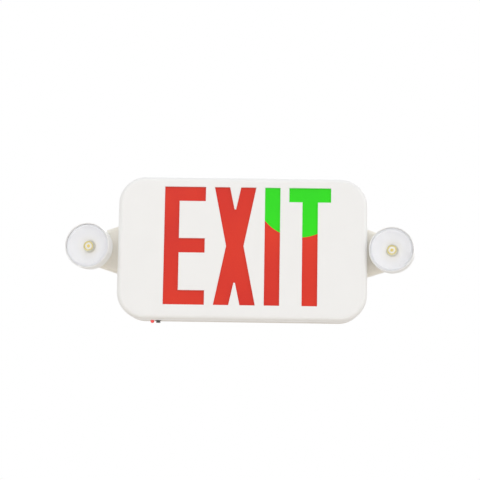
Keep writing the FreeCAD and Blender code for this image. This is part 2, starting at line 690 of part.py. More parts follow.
def make_transformer():
    left, low = f"({BOARD_RIGHT} - core_side - core_width)", f"({BOARD_HIGH} - core_drop - core_height)"
    back, front = f"({BOARD_FRONT} + core_raise)", f"({BOARD_FRONT} + core_raise + core_stack)"
    frame = box("core_frame", left, f"{left} + core_width", back, front, low, f"{low} + core_height")
    windows = [box(f"core_window_{index}", f"{left} + core_limb + {index} * (core_width - core_limb) / 2",
                   f"{left} + {index + 1} * (core_width - core_limb) / 2",
                   f"{back} - core_raise", f"{front} + core_raise",
                   f"{low} + core_limb", f"{low} + core_height - core_limb")
               for index in (0, 1)]
    core = node(cut("transformer_core", frame, fuse("core_windows", windows)), "transformer_core")
    winding = box("coil_block", f"{left} + core_limb", f"{left} + core_width - core_limb", BOARD_FRONT,
                  f"{front} + core_raise", f"{low} + core_limb", f"{low} + core_height - core_limb")
    rounding = document.addObject("Part::Fillet", "coil_rounding")
    rounding.Base = winding
    document.recompute()
    front_edges = [index for index, edge in enumerate(winding.Shape.Edges, start=1)
                   if abs(edge.BoundBox.YMax + number(f"{front} + core_raise")) < 0.01]
    rounding.Edges = [(index, number("core_raise / 2"), number("core_raise / 2")) for index in front_edges]
    node(cut("transformer_coil", rounding, core), "transformer_coil")


def make_board_parts():
    rise = f"({BOARD_LOW} + capacitor_rise)"
    cans = []
    for index in range(3):
        can = cylinder(f"capacitor_{index + 1}", "capacitor_radius", "capacitor_height",
                       f"{BOARD_LEFT} + capacitor_side + {index} * capacitor_pitch", BOARD_FRONT, rise)
        cans.append(can)
    group("capacitors", cans)
    left, low = f"({BOARD_LEFT} + terminal_side)", f"({BOARD_HIGH} - terminal_drop - terminal_height)"
    block = box("terminal_body", left, f"{left} + terminal_width", BOARD_FRONT,
                f"{BOARD_FRONT} + terminal_depth", low, f"{low} + terminal_height")
    ways = []
    for index in (1, 3):
        across = f"{left} + {index} * terminal_width / 4"
        ways.append(cylinder(f"terminal_entry_{index}", "screw_radius", "terminal_height", across,
                             f"{BOARD_FRONT} + terminal_depth / 3", f"{low} + terminal_height / 2", "up"))
        ways.append(cylinder(f"terminal_screw_{index}", "screw_radius", "terminal_depth", across,
                             f"{BOARD_FRONT} + 2 * terminal_depth / 3", f"{low} + terminal_height / 2"))
    node(cut("terminal_block", block, fuse("terminal_ways", ways)), "terminal_block")


def make_selector():
    left, low = f"({BOARD_LEFT} + selector_side)", f"({BOARD_LOW} + selector_rise)"
    body = box("selector_body", left, f"{left} + selector_length", BOARD_FRONT,
               f"{BOARD_FRONT} + selector_depth", low, f"{low} + selector_width")
    middle = f"({low} + selector_width / 2)"
    slot_length = "(slider_length + selector_travel + 2 * rest_gap)"
    slot_left = f"({left} + (selector_length - {slot_length}) / 2)"
    slot_back, slot_half = f"({BOARD_FRONT} + selector_depth / 2)", "(slider_width / 2 + slider_gap)"
    slot = box("selector_slot", slot_left, f"{slot_left} + {slot_length}", slot_back,
               f"{slot_back} + selector_depth", f"{middle} - {slot_half}", f"{middle} + {slot_half}")
    node(cut("selector_switch", body, slot), "selector_switch")
    start = f"({slot_left} + rest_gap)"
    slider = box("selector_slider", start, f"{start} + slider_length", f"{slot_back} + rest_gap",
                 f"{BOARD_FRONT} + selector_depth + slider_proud",
                 f"{middle} - slider_width / 2", f"{middle} + slider_width / 2")
    node(slider, "selector_slider")


def make_battery():
    axis_depth = "(housing_wall + cell_radius)"
    cells = [cylinder(f"cell_{index + 1}", "cell_radius", "cell_length", BATTERY_LEFT, axis_depth,
                      f"{BATTERY_LOW} + {2 * index + 1} * cell_radius", "right") for index in range(3)]
    web = box("cell_web", BATTERY_LEFT, f"{BATTERY_LEFT} + cell_length", f"{axis_depth} - cell_radius / 2",
              f"{axis_depth} + cell_radius / 2", f"{BATTERY_LOW} + cell_radius",
              f"{BATTERY_HIGH} - cell_radius")
    node(fuse("battery_pack", cells + [web]), "battery_pack")

    strap = new_body("battery_strap")
    low, high = f"({BATTERY_LOW} - rest_gap)", f"({BATTERY_HIGH} + rest_gap)"
    top = f"({BATTERY_FRONT} + rest_gap)"
    profile = new_sketch(strap, "side", STRAP_ACROSS)
    polygon(profile, (
        (f"-{STRAP_REST}", f"{low} - strap_foot"), (f"-{STRAP_REST}", low), (f"-{top}", low),
        (f"-{top}", high), (f"-{STRAP_REST}", high), (f"-{STRAP_REST}", f"{high} + strap_foot"),
        (f"-{STRAP_REST} - strap_thick", f"{high} + strap_foot"),
        (f"-{STRAP_REST} - strap_thick", f"{high} + strap_thick"),
        (f"-{top} - strap_thick", f"{high} + strap_thick"),
        (f"-{top} - strap_thick", f"{low} - strap_thick"),
        (f"-{STRAP_REST} - strap_thick", f"{low} - strap_thick"),
        (f"-{STRAP_REST} - strap_thick", f"{low} - strap_foot")))
    pad(strap, profile, "strap_width", both_ways=True)
    ways = new_sketch(strap, "front", f"{STRAP_REST} + 2 * strap_thick")
    for across, upward in strap_screw_places():
        circle(ways, "screw_radius", across, upward)
    pocket(strap, ways, "3 * strap_thick")
    group("strap_screws", [screw(f"strap_screw_{index}", "strap_thick + strap_boss - rest_gap", across,
                                 f"{STRAP_REST} + strap_thick", upward)
                           for index, (across, upward) in enumerate(strap_screw_places(), start=1)])


# Test button and status light, through the bottom wall.

def make_controls():
    inner_face = f"(-{WALL_INSIDE})"
    bush_radius = "(button_radius + button_gap + bush_wall)"
    sleeve = cylinder("bush_sleeve", bush_radius, "housing_wall", BUTTON_ACROSS, CONTROL_DEPTH,
                      UNDERSIDE, "up")
    flange = cylinder("bush_collar", f"{bush_radius} + bush_flange", "bush_flange", BUTTON_ACROSS,
                      CONTROL_DEPTH, f"{UNDERSIDE} - bush_flange", "up")
    way = cylinder("bush_way", "button_radius + button_gap", "3 * housing_wall", BUTTON_ACROSS,
                   CONTROL_DEPTH, f"{UNDERSIDE} - housing_wall", "up")
    node(cut("button_bush", fuse("bush_body", [sleeve, flange]), way), "button_bush")

    flange_low = f"({inner_face} + rest_gap)"
    stem = cylinder("button_stem", "button_radius", f"{flange_low} - {UNDERSIDE} + button_proud",
                    BUTTON_ACROSS, CONTROL_DEPTH, f"{UNDERSIDE} - button_proud", "up")
    cap = cylinder("button_cap", "button_radius + button_flange", "button_flange", BUTTON_ACROSS,
                   CONTROL_DEPTH, flange_low, "up")
    button = fuse("button_body", [stem, cap])
    rounding = document.addObject("Part::Fillet", "button_rounding")
    rounding.Base = button
    document.recompute()
    tip = [index for index, edge in enumerate(button.Shape.Edges, start=1)
           if edge.BoundBox.ZMax < number(f"{UNDERSIDE} - button_proud") + 0.01]
    rounding.Edges = [(index, number("button_radius / 4"), number("button_radius / 4")) for index in tip]
    node(rounding, "test_button")

    switch_low = f"({flange_low} + button_flange + button_travel + rest_gap)"
    plunger = cylinder("switch_plunger", "switch_size / 4", "switch_size / 4", BUTTON_ACROSS,
                       CONTROL_DEPTH, switch_low, "up")
    shell = box("switch_shell", f"{BUTTON_ACROSS} - switch_size / 2", f"{BUTTON_ACROSS} + switch_size / 2",
                BOARD_FRONT, f"{BOARD_FRONT} + switch_size", f"{switch_low} + switch_size / 4",
                f"{switch_low} + switch_size * 5 / 4")
    node(fuse("test_switch", [plunger, shell]), "test_switch")

    dome_middle = f"({UNDERSIDE} - pilot_proud + pilot_radius)"
    barrel = cylinder("pilot_barrel", "pilot_radius", f"{inner_face} - {dome_middle}", PILOT_ACROSS,
                      CONTROL_DEPTH, dome_middle, "up")
    dome = document.addObject("Part::Sphere", "pilot_dome")
    bind(dome, "Radius", "pilot_radius")
    put(dome, PILOT_ACROSS, f"-{CONTROL_DEPTH}", dome_middle)
    collar = cylinder("pilot_collar", "pilot_radius + pilot_flange / 2", "pilot_flange", PILOT_ACROSS,
                      CONTROL_DEPTH, inner_face, "up")
    node(fuse("status_led", [barrel, dome, collar]), "status_led")
    holder_low = f"({inner_face} + pilot_flange)"
    holder = box("status_led_holder", f"{PILOT_ACROSS} - switch_size / 2",
                 f"{PILOT_ACROSS} + switch_size / 2", BOARD_FRONT, f"{BOARD_FRONT} + switch_size",
                 holder_low, f"{holder_low} + holder_height")
    node(holder, "status_led_holder")


# Horns: hollow arms, open at the back, that flare from the swivel to the housing's side.

def make_horn(name, side):
    horn = new_body(f"{name}_horn")
    axis = f"{side} * {SWIVEL_REACH}"
    end = new_sketch(horn, "front", "horn_back")
    circle(end, "tip_radius", axis, "0")
    disc = pad(horn, end, "tip_front - horn_back")
    fillet(horn, disc, "horn_round", at_depth("tip_front"))
    square = ("low_right", "high_right")
    root = new_sketch(horn, "side", f"{side} * {TRAY_SIDE}")
    rounded(root, "-horn_front", "-horn_back", f"-{HORN_HALF}", HORN_HALF, "horn_round", square)
    tip = new_sketch(horn, "side", f"{side} * ({SWIVEL_REACH} + tip_radius * {HORN_SIN})")
    rounded(tip, "-tip_front", "-horn_back", f"-tip_radius * {HORN_COS}", f"tip_radius * {HORN_COS}",
            "horn_round", square)
    loft(horn, root, tip)

    inner_root = new_sketch(horn, "side", f"{side} * ({TRAY_SIDE} + housing_wall)")
    rounded(inner_root, "-horn_front + housing_wall", "-horn_back + horn_round",
            f"-{HORN_HALF} + horn_side_wall", f"{HORN_HALF} - horn_side_wall",
            "horn_round - housing_wall", square)
    inner_tip = new_sketch(horn, "side", f"{side} * {SWIVEL_REACH}")
    rounded(inner_tip, "-tip_front + housing_wall", "-horn_back + horn_round",
            "-tip_radius + housing_wall", "tip_radius - housing_wall", "horn_round - housing_wall", square)
    loft(horn, inner_root, inner_tip, adding=False)
    end_hollow = new_sketch(horn, "front", "tip_front - housing_wall")
    circle(end_hollow, "tip_radius - housing_wall", axis, "0")
    pocket(horn, end_hollow, "tip_front")

    bosses = new_sketch(horn, "side", f"{side} * ({TRAY_SIDE} + housing_wall / 2)")
    for rise in (-1, 1):
        circle(bosses, "post_radius", "-horn_screw_depth", f"{rise} * horn_screw_up")
    pad(horn, bosses, "horn_boss_length", backward=side < 0)
    ways = new_sketch(horn, "side", f"{side} * ({TRAY_SIDE} - housing_wall)")
    circle(ways, "lead_radius", "-horn_screw_depth", "0")
    for rise in (-1, 1):
        circle(ways, "screw_radius", "-horn_screw_depth", f"{rise} * horn_screw_up")
    pocket(horn, ways, "horn_boss_length", forward=side > 0)

    seat = new_sketch(horn, "front", "tip_front")
    circle(seat, "base_radius + seat_gap", axis, "0")
    pocket(horn, seat, "horn_front", forward=True)
    bore = new_sketch(horn, "front", "tip_front + housing_wall")
    circle(bore, "stem_radius + stem_gap", axis, "0")
    pocket(horn, bore, "3 * housing_wall")

    cap = new_body(f"{name}_horn_cap")
    plate = new_sketch(cap, "front", "horn_back")
    near, far = f"{side} * ({TRAY_SIDE} + housing_wall + cap_gap)", axis
    tall, low = f"({HORN_HALF} - horn_side_wall - cap_gap)", "(tip_radius - housing_wall - cap_gap)"
    polygon(plate, ((near, f"-{tall}"), (far, f"-{low}"), (far, low), (near, tall)))
    pad(cap, plate, "cap_thick")
    cap_end = new_sketch(cap, "front", "horn_back")
    circle(cap_end, low, axis, "0")
    pad(cap, cap_end, "cap_thick")

    way = "left" if side > 0 else "right"
    head_place = f"{side} * ({TRAY_SIDE} - housing_wall)"
    screws = [screw(f"{name}_horn_screw_{place}", "horn_boss_length - rest_gap", head_place,
                    "horn_screw_depth", f"{rise} * horn_screw_up", way)
              for place, rise in (("low", -1), ("high", 1))]
    group(f"{name}_horn_screws", screws)


# Swivel: a hollow stem turns in the horn, and its two ears carry the head's tilt pin.

def make_swivel(name, side):
    swivel = new_body(f"{name}_swivel")
    base_back = "(tip_front + rest_gap)"
    base_front = f"({base_back} + base_thick)"
    clip_front = "(tip_front - housing_wall - rest_gap)"
    clip_back = f"({clip_front} - clip_thick)"
    stem_back = f"({clip_back} - clip_thick)"
    revolve(swivel, (
        ("stem_hole_radius", f"-{base_front}"), ("stem_hole_radius", f"-{stem_back}"),
        ("stem_radius", f"-{stem_back}"),
        ("stem_radius", f"-{clip_back}"), ("stem_radius - groove_depth", f"-{clip_back}"),
        ("stem_radius - groove_depth", f"-{clip_front}"), ("stem_radius", f"-{clip_front}"),
        ("stem_radius", f"-{base_back}"), ("base_radius", f"-{base_back}"),
        ("base_radius", f"-{base_front}")))
    for rise in (-1, 1):
        middle = f"{rise} * (lug_width / 2 + lug_gap + ear_thick / 2)"
        ear = new_sketch(swivel, "floor", middle)
        root = f"-{base_front} + base_thick / 2"
        polygon(ear, (("-ear_radius", root), ("ear_radius", root), ("ear_radius", "-tilt_stand"),
                      ("-ear_radius", "-tilt_stand")))
        pad(swivel, ear, "ear_thick", both_ways=True)
        crown = new_sketch(swivel, "floor", middle)
        circle(crown, "ear_radius", "0", "-tilt_stand")
        pad(swivel, crown, "ear_thick", both_ways=True)
    pin_way = new_sketch(swivel, "floor")
    circle(pin_way, "pin_radius", "0", "-tilt_stand")
    pocket(swivel, pin_way, "4 * lug_width", both_ways=True)
    axis = f"{side} * {SWIVEL_REACH}"
    put(swivel, axis, "0", "0")

    ring = cylinder(f"{name}_clip_ring", "clip_radius", "clip_thick", axis, clip_back, "0")
    way = cylinder(f"{name}_clip_way", "stem_radius - groove_depth", "3 * clip_thick", axis,
                   f"{clip_back} - clip_thick", "0")
    mouth = box(f"{name}_clip_mouth", f"{axis} - clip_opening / 2", f"{axis} + clip_opening / 2",
                f"{clip_back} - clip_thick",
                f"{clip_front} + clip_thick", "-2 * clip_radius", "0")
    node(cut(f"{name}_swivel_clip", ring, fuse(f"{name}_clip_ways", [way, mouth])), f"{name}_swivel_clip")

    half = "(lug_width / 2 + lug_gap + ear_thick)"
    rod = cylinder(f"{name}_pin_rod", "pin_radius", f"2 * {half} + pin_radius", axis, "tilt_stand",
                   f"-{half} - pin_radius", "up")
    button = cylinder(f"{name}_pin_button", "pin_head", "pin_radius / 2", axis, "tilt_stand", half, "up")
    node(fuse(f"{name}_tilt_pin", [rod, button]), f"{name}_tilt_pin")


# Lamp head: every piece is drawn about the tilt axis, facing forward, and then turned.

HEAD_FRONT = "(head_gap + head_depth)"
RIM = f"({HEAD_FRONT} - bezel_depth)"
BOARD_SEAT = "(head_gap + head_wall + lamp_boss_height)"
LAMP_FACE = f"({BOARD_SEAT} + lamp_board_thick)"
SHELL_INSIDE = "(head_radius - head_wall)"
LENS_RADIUS = "(head_radius - head_wall / 2 - lens_gap)"
BOWL_RIM = "(head_radius - head_wall - lens_gap)"


def aim(thing, name, side):
    """Puts a piece that was drawn about the tilt axis where its head is, and turns it."""
    put(thing, f"{side} * {SWIVEL_REACH}", "-tilt_stand", "0")
    bind(thing, "Placement.Rotation.Angle", f"{name}_turn")


def make_head(name, side):
    shell = new_body(f"{name}_lamp_shell")
    floor = "(head_gap + head_wall)"
    cup = revolve(shell, (
        ("0", "-head_gap"), ("head_radius", "-head_gap"), ("head_radius", f"-{RIM}"),
        (SHELL_INSIDE, f"-{RIM}"), (SHELL_INSIDE, f"-{floor}"), ("0", f"-{floor}")))
    radius = number("head_radius")
    back = number("head_gap")
    fillet(shell, cup, "head_round",
           lambda point: abs(point.y + back) < 0.01 and abs(math.hypot(point.x, point.z) - radius) < 0.01)
    tongue = new_sketch(shell, "floor")
    root = "-head_gap - head_wall / 2"
    polygon(tongue, (("-lug_radius", root), ("lug_radius", root),
                     ("lug_radius", "0"), ("-lug_radius", "0")))
    pad(shell, tongue, "lug_width", both_ways=True)
    knuckle = new_sketch(shell, "floor")
    circle(knuckle, "lug_radius")
    pad(shell, knuckle, "lug_width", both_ways=True)
    pin_way = new_sketch(shell, "floor")
    circle(pin_way, "pin_radius + pin_gap")
    pocket(shell, pin_way, "2 * lug_width", both_ways=True)
    bosses = new_sketch(shell, "front", f"{floor} - head_wall / 2")
    for across in (-1, 1):
        circle(bosses, "post_radius", f"{across} * lamp_boss_across", "0")
    pad(shell, bosses, "lamp_boss_height + head_wall / 2")
    aim(shell, name, side)

    bezel = new_body(f"{name}_lens_bezel")
    opening = "(head_radius - bezel_lip)"
    lens_front = f"({RIM} + lens_thick)"
    ring = revolve(bezel, (
        ("head_radius", f"-{RIM}"), ("head_radius", f"-{HEAD_FRONT}"), (opening, f"-{HEAD_FRONT}"),
        (opening, f"-{lens_front}"), (f"{LENS_RADIUS} + lens_gap", f"-{lens_front}"),
        (f"{LENS_RADIUS} + lens_gap", f"-{RIM}")))
    front = number(HEAD_FRONT)
    fillet(bezel, ring, "bezel_round", lambda point: abs(point.y + front) < 0.01)
    aim(bezel, name, side)

    lens = new_body(f"{name}_lens")
    revolve(lens, (("0", f"-{RIM}"), (LENS_RADIUS, f"-{RIM}"), (LENS_RADIUS, f"-{lens_front}"),
                   ("0", f"-{lens_front}")))
    aim(lens, name, side)

    bowl = new_body(f"{name}_reflector")
    throat = f"({LAMP_FACE} + bowl_sheet)"
    revolve(bowl, (
        ("bowl_foot", f"-{LAMP_FACE}"), ("bowl_foot + bowl_sheet", f"-{LAMP_FACE}"),
        ("bowl_foot + bowl_sheet", f"-{throat}", "bowl_curve + bowl_sheet", "right"),
        (f"{BOWL_RIM} - bowl_sheet / 2", f"-{RIM} + bowl_sheet"),
        (BOWL_RIM, f"-{RIM} + bowl_sheet"), (BOWL_RIM, f"-{RIM}"),
        (f"{BOWL_RIM} - 1.5 * bowl_sheet", f"-{RIM}", "bowl_curve", "left"),
        ("bowl_foot", f"-{throat} - bowl_sheet / 2")))
    aim(bowl, name, side)

    board = new_body(f"{name}_lamp_board")
    revolve(board, (("0", f"-{BOARD_SEAT}"), ("lamp_board_radius", f"-{BOARD_SEAT}"),
                    ("lamp_board_radius", f"-{LAMP_FACE}"), ("0", f"-{LAMP_FACE}")))
    aim(board, name, side)

    emitter = new_body(f"{name}_lamp_led")
    package = new_sketch(emitter, "front", LAMP_FACE)
    polygon(package, (("-emitter_side / 2", "-emitter_side / 2"), ("emitter_side / 2", "-emitter_side / 2"),
                      ("emitter_side / 2", "emitter_side / 2"), ("-emitter_side / 2", "emitter_side / 2")))
    pad(emitter, package, "emitter_height")
    dome = new_sketch(emitter, "front", f"{LAMP_FACE} + emitter_height")
    circle(dome, "dome_radius")
    barrel = pad(emitter, dome, "dome_radius")
    dome_top = number(f"{LAMP_FACE} + emitter_height + dome_radius")
    fillet(emitter, barrel, "0.9 * dome_radius", lambda point: abs(point.y + dome_top) < 0.01)
    aim(emitter, name, side)

    optic = new_body(f"{name}_optic")
    hollow = f"({LAMP_FACE} + emitter_height + dome_radius + rest_gap)"
    top = f"-{LAMP_FACE} - optic_height"
    revolve(optic, (
        ("optic_bore_radius", f"-{LAMP_FACE}"), ("optic_foot", f"-{LAMP_FACE}"), ("optic_radius", top),
        ("0", top), ("0", f"-{hollow}"), ("optic_bore_radius", f"-{hollow}")))
    aim(optic, name, side)


def check_and_write():
    """Stops on any failed object or bad shape, and then writes one file for each node."""
    document.removeObject(gauge.Name)
    document.recompute()
    for thing in document.Objects:
        if "Invalid" in thing.State or "Error" in thing.State:
            raise RuntimeError(f"{thing.Label} failed: {thing.State}")
    for thing in nodes:
        if thing.Shape.isNull() or not thing.Shape.isValid():
            raise RuntimeError(f"{thing.Label} has a bad shape")
    os.makedirs("parts", exist_ok=True)
    for thing in nodes:
        thing.Shape.exportStep(f"parts/{thing.Label}.step")


make_back_housing()
make_front_cover()
make_light_box()
make_main_board()
make_transformer()
make_board_parts()
make_selector()
make_battery()
make_controls()
for side_name, side_sign in SIDES:
    make_horn(side_name, side_sign)
    make_swivel(side_name, side_sign)
    make_head(side_name, side_sign)
check_and_write()
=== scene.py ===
"""The emergency exit light's visible model, built round its CAD nodes and bodies."""

import math

import bmesh
import bpy
from mathutils import Matrix, Vector
from mathutils.kdtree import KDTree


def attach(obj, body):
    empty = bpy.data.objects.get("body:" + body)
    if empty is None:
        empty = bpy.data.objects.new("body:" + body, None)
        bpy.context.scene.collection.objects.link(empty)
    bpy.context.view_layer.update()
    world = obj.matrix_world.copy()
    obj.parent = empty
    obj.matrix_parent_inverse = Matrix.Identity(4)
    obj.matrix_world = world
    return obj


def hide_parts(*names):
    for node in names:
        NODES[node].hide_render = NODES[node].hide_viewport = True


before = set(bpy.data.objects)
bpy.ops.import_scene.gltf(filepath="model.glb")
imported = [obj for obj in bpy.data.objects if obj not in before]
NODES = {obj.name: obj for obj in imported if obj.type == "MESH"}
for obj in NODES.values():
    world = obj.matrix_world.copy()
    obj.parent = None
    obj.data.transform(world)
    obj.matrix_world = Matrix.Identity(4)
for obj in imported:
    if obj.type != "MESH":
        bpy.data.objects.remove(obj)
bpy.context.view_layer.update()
SCENE = bpy.context.scene
MM = 0.001


# ---------------------------------------------------------------- node helpers


def node(tree, kind, feeds=None, **settings):
    """Adds a node, sets its settings and sets or links its inputs."""
    made = tree.nodes.new(kind)
    for key, value in settings.items():
        setattr(made, key, value)
    for key, value in (feeds or {}).items():
        if isinstance(value, bpy.types.NodeSocket):
            tree.links.new(value, made.inputs[key])
        else:
            made.inputs[key].default_value = value
    return made


def add_sockets(tree, inputs, outputs):
    """Named sockets of a group: inputs as (name, kind, value), outputs as (name, kind)."""
    for label, kind, value in inputs:
        socket = tree.interface.new_socket(name=label, in_out="INPUT",
                                           socket_type="NodeSocket" + kind)
        if value is not None:
            socket.default_value = value
    for label, kind in outputs:
        tree.interface.new_socket(name=label, in_out="OUTPUT", socket_type="NodeSocket" + kind)


def group(name, inputs, outputs):
    """A shader node group with named inputs and outputs; gives its tree, inputs and outputs."""
    tree = bpy.data.node_groups.new(name, "ShaderNodeTree")
    add_sockets(tree, inputs, outputs)
    return tree, tree.nodes.new("NodeGroupInput").outputs, tree.nodes.new("NodeGroupOutput").inputs


def maths(tree, how, a, b=0.0):
    """The result of one sum, product or other step on numbers."""
    return node(tree, "ShaderNodeMath", {0: a, 1: b}, operation=how).outputs[0]


def blend_colour(tree, factor, a, b, how="MIX"):
    """Mixes two colours; 0, 6 and 7 are the factor and the colours of a Mix node set to RGBA."""
    feeds = {0: factor, 6: a, 7: b}
    return node(tree, "ShaderNodeMix", feeds, data_type="RGBA", blend_type=how).outputs[2]


def spread(tree, value, low, high, to_low=0.0, to_high=1.0):
    """Maps the range low to high onto to_low to to_high, held at both ends."""
    feeds = {0: value, 1: low, 2: high, 3: to_low, 4: to_high}
    return node(tree, "ShaderNodeMapRange", feeds, clamp=True).outputs[0]


def object_place(tree):
    """The place on the object that is being shaded, in metres."""
    return node(tree, "ShaderNodeTexCoord").outputs["Object"]


def noise(tree, scale, detail, place):
    """Soft random values round 0.5, of a size set by scale."""
    feeds = {"Vector": place, "Scale": scale, "Detail": detail}
    return node(tree, "ShaderNodeTexNoise", feeds).outputs[0]


def srgb(red, green, blue):
    """A colour given in 0-255 display values, as the linear colour of a node."""

    def linear(value):
        value /= 255
        return value / 12.92 if value <= 0.04045 else ((value + 0.055) / 1.055) ** 2.4

    return (linear(red), linear(green), linear(blue), 1.0)


# ---------------------------------------------------------------- surface effects


SURFACE = (("Base Color", "Color"), ("Roughness", "Float"), ("Bump Height", "Float"))


def put_out(tree, result, *values):
    """Links an effect's colour, roughness and height to what its group puts out."""
    for (label, _), value in zip(SURFACE, values):
        tree.links.new(value, result[label])
    return tree


def weighted(tree, first, share, second, rest):
    """Two patterns added with a share of each."""
    return maths(tree, "ADD", maths(tree, "MULTIPLY", first, share),
                 maths(tree, "MULTIPLY", second, rest))


def effect_moulding():
    """Spark-eroded moulding: fine grain, a slow cloud in the tone and a slow change of gloss."""
    tree, given, result = group(
        "moulding",
        (("Tone", "Color", (0.8, 0.8, 0.8, 1)), ("Cloud", "Float", 0.02),
         ("Grain Size", "Float", 1400.0),
         ("Roughness Low", "Float", 0.42), ("Roughness High", "Float", 0.52)),
        SURFACE,
    )
    place = object_place(tree)
    cloud = noise(tree, 26.0, 3.0, place)
    grain = noise(tree, given["Grain Size"], 2.0, place)
    depth = maths(tree, "MULTIPLY", spread(tree, cloud, 0.3, 0.7), given["Cloud"])
    speck = maths(tree, "MULTIPLY", grain, given["Cloud"])
    darker = maths(tree, "SUBTRACT", 1.0, maths(tree, "ADD", depth, speck))
    grey = node(tree, "ShaderNodeCombineColor", {0: darker, 1: darker, 2: darker}).outputs[0]
    colour = blend_colour(tree, 1.0, given["Tone"], grey, "MULTIPLY")
    gloss = spread(tree, cloud, 0.3, 0.7, given["Roughness Low"], given["Roughness High"])
    return put_out(tree, result, colour, gloss, grain)


def effect_drawn_metal():
    """Rolled or turned metal: fine streaks along one axis and a slow cloud."""
    tree, given, result = group(
        "drawn_metal",
        (("Tone", "Color", (0.6, 0.6, 0.6, 1)), ("Streaks", "Vector", (40.0, 900.0, 900.0)),
         ("Roughness Low", "Float", 0.25), ("Roughness High", "Float", 0.42)),
        SURFACE,
    )
    place = object_place(tree)
    stretched = node(tree, "ShaderNodeVectorMath", {0: place, 1: given["Streaks"]},
                     operation="MULTIPLY").outputs[0]
    streak = noise(tree, 1.0, 3.0, stretched)
    cloud = noise(tree, 90.0, 2.0, place)
    both = weighted(tree, streak, 0.6, cloud, 0.4)
    dark = blend_colour(tree, 1.0, given["Tone"], (0.78, 0.78, 0.78, 1), "MULTIPLY")
    colour = blend_colour(tree, spread(tree, both, 0.3, 0.7), dark, given["Tone"])
    gloss = spread(tree, both, 0.3, 0.7, given["Roughness Low"], given["Roughness High"])
    return put_out(tree, result, colour, gloss, streak)


def effect_layers():
    """Thin layers across one axis: laminations, wound tape or a wrapped seam."""
    tree, given, result = group(
        "layers",
        (("Tone", "Color", (0.5, 0.5, 0.5, 1)), ("Line Tone", "Color", (0.2, 0.2, 0.2, 1)),
         ("Across", "Vector", (0.0, 1.0, 0.0)), ("Layers per Metre", "Float", 1400.0),
         ("Line Width", "Float", 0.25)),
        SURFACE,
    )
    place = object_place(tree)
    along = node(tree, "ShaderNodeVectorMath", {0: place, 1: given["Across"]},
                 operation="DOT_PRODUCT").outputs["Value"]
    waver = maths(tree, "MULTIPLY", noise(tree, 300.0, 2.0, place), 0.0003)
    steps = maths(tree, "MULTIPLY", maths(tree, "ADD", along, waver), given["Layers per Metre"])
    edge = maths(tree, "LESS_THAN", maths(tree, "FRACT", steps), given["Line Width"])
    mottle = spread(tree, noise(tree, 500.0, 3.0, place), 0.3, 0.7, 0.0, 0.25)
    base = blend_colour(tree, mottle, given["Tone"], given["Line Tone"])
    colour = blend_colour(tree, edge, base, given["Line Tone"])
    gloss = spread(tree, mottle, 0.0, 0.25, 0.35, 0.5)
    return put_out(tree, result, colour, gloss, maths(tree, "SUBTRACT", 1.0, edge))


def effect_circuit():
    """A printed board: lacquer over copper tracks, with bright pads on a coarse grid."""
    tree, given, result = group(
        "circuit",
        (("Lacquer", "Color", (0.05, 0.3, 0.12, 1)), ("Track", "Color", (0.1, 0.4, 0.18, 1)),
         ("Pad", "Color", (0.7, 0.68, 0.6, 1)), ("Pitch", "Float", 260.0)),
        SURFACE,
    )
    place = object_place(tree)
    split = node(tree, "ShaderNodeSeparateXYZ", {0: place}).outputs
    flat = node(tree, "ShaderNodeCombineXYZ", {0: split["X"], 1: split["Z"], 2: 0.0}).outputs[0]
    bricks = node(tree, "ShaderNodeTexBrick", {"Vector": flat, "Scale": given["Pitch"],
                                               "Mortar Size": 0.09, "Mortar Smooth": 0.2})
    track = bricks.outputs["Fac"]
    cells = node(tree, "ShaderNodeTexVoronoi", {"Vector": flat, "Scale": given["Pitch"]},
                 distance="CHEBYCHEV")
    pad = maths(tree, "LESS_THAN", cells.outputs["Distance"], 0.13)
    copper = blend_colour(tree, track, given["Lacquer"], given["Track"])
    stain = spread(tree, noise(tree, 300.0, 2.0, place), 0.3, 0.8, 0.0, 0.2)
    shade = blend_colour(tree, stain, copper, (0.02, 0.05, 0.03, 1))
    colour = blend_colour(tree, pad, shade, given["Pad"])
    gloss = spread(tree, pad, 0.0, 1.0, 0.45, 0.25)
    height = maths(tree, "ADD", maths(tree, "MULTIPLY", track, 0.4), pad)
    return put_out(tree, result, colour, gloss, height)


def effect_tint():
    """Tinted translucent sheet or lens: fine pearl in the colour and a soft surface ripple."""
    tree, given, result = group(
        "tint",
        (("Tone", "Color", (0.8, 0.1, 0.1, 1)), ("Deep Tone", "Color", (0.6, 0.05, 0.05, 1)),
         ("Pearl Size", "Float", 700.0), ("Roughness Low", "Float", 0.3),
         ("Roughness High", "Float", 0.42)),
        SURFACE,
    )
    place = object_place(tree)
    pearl = noise(tree, given["Pearl Size"], 2.0, place)
    drift = noise(tree, 14.0, 1.0, place)
    both = weighted(tree, pearl, 0.35, drift, 0.65)
    colour = blend_colour(tree, spread(tree, both, 0.35, 0.65), given["Deep Tone"], given["Tone"])
    gloss = spread(tree, both, 0.3, 0.7, given["Roughness Low"], given["Roughness High"])
    return put_out(tree, result, colour, gloss, pearl)


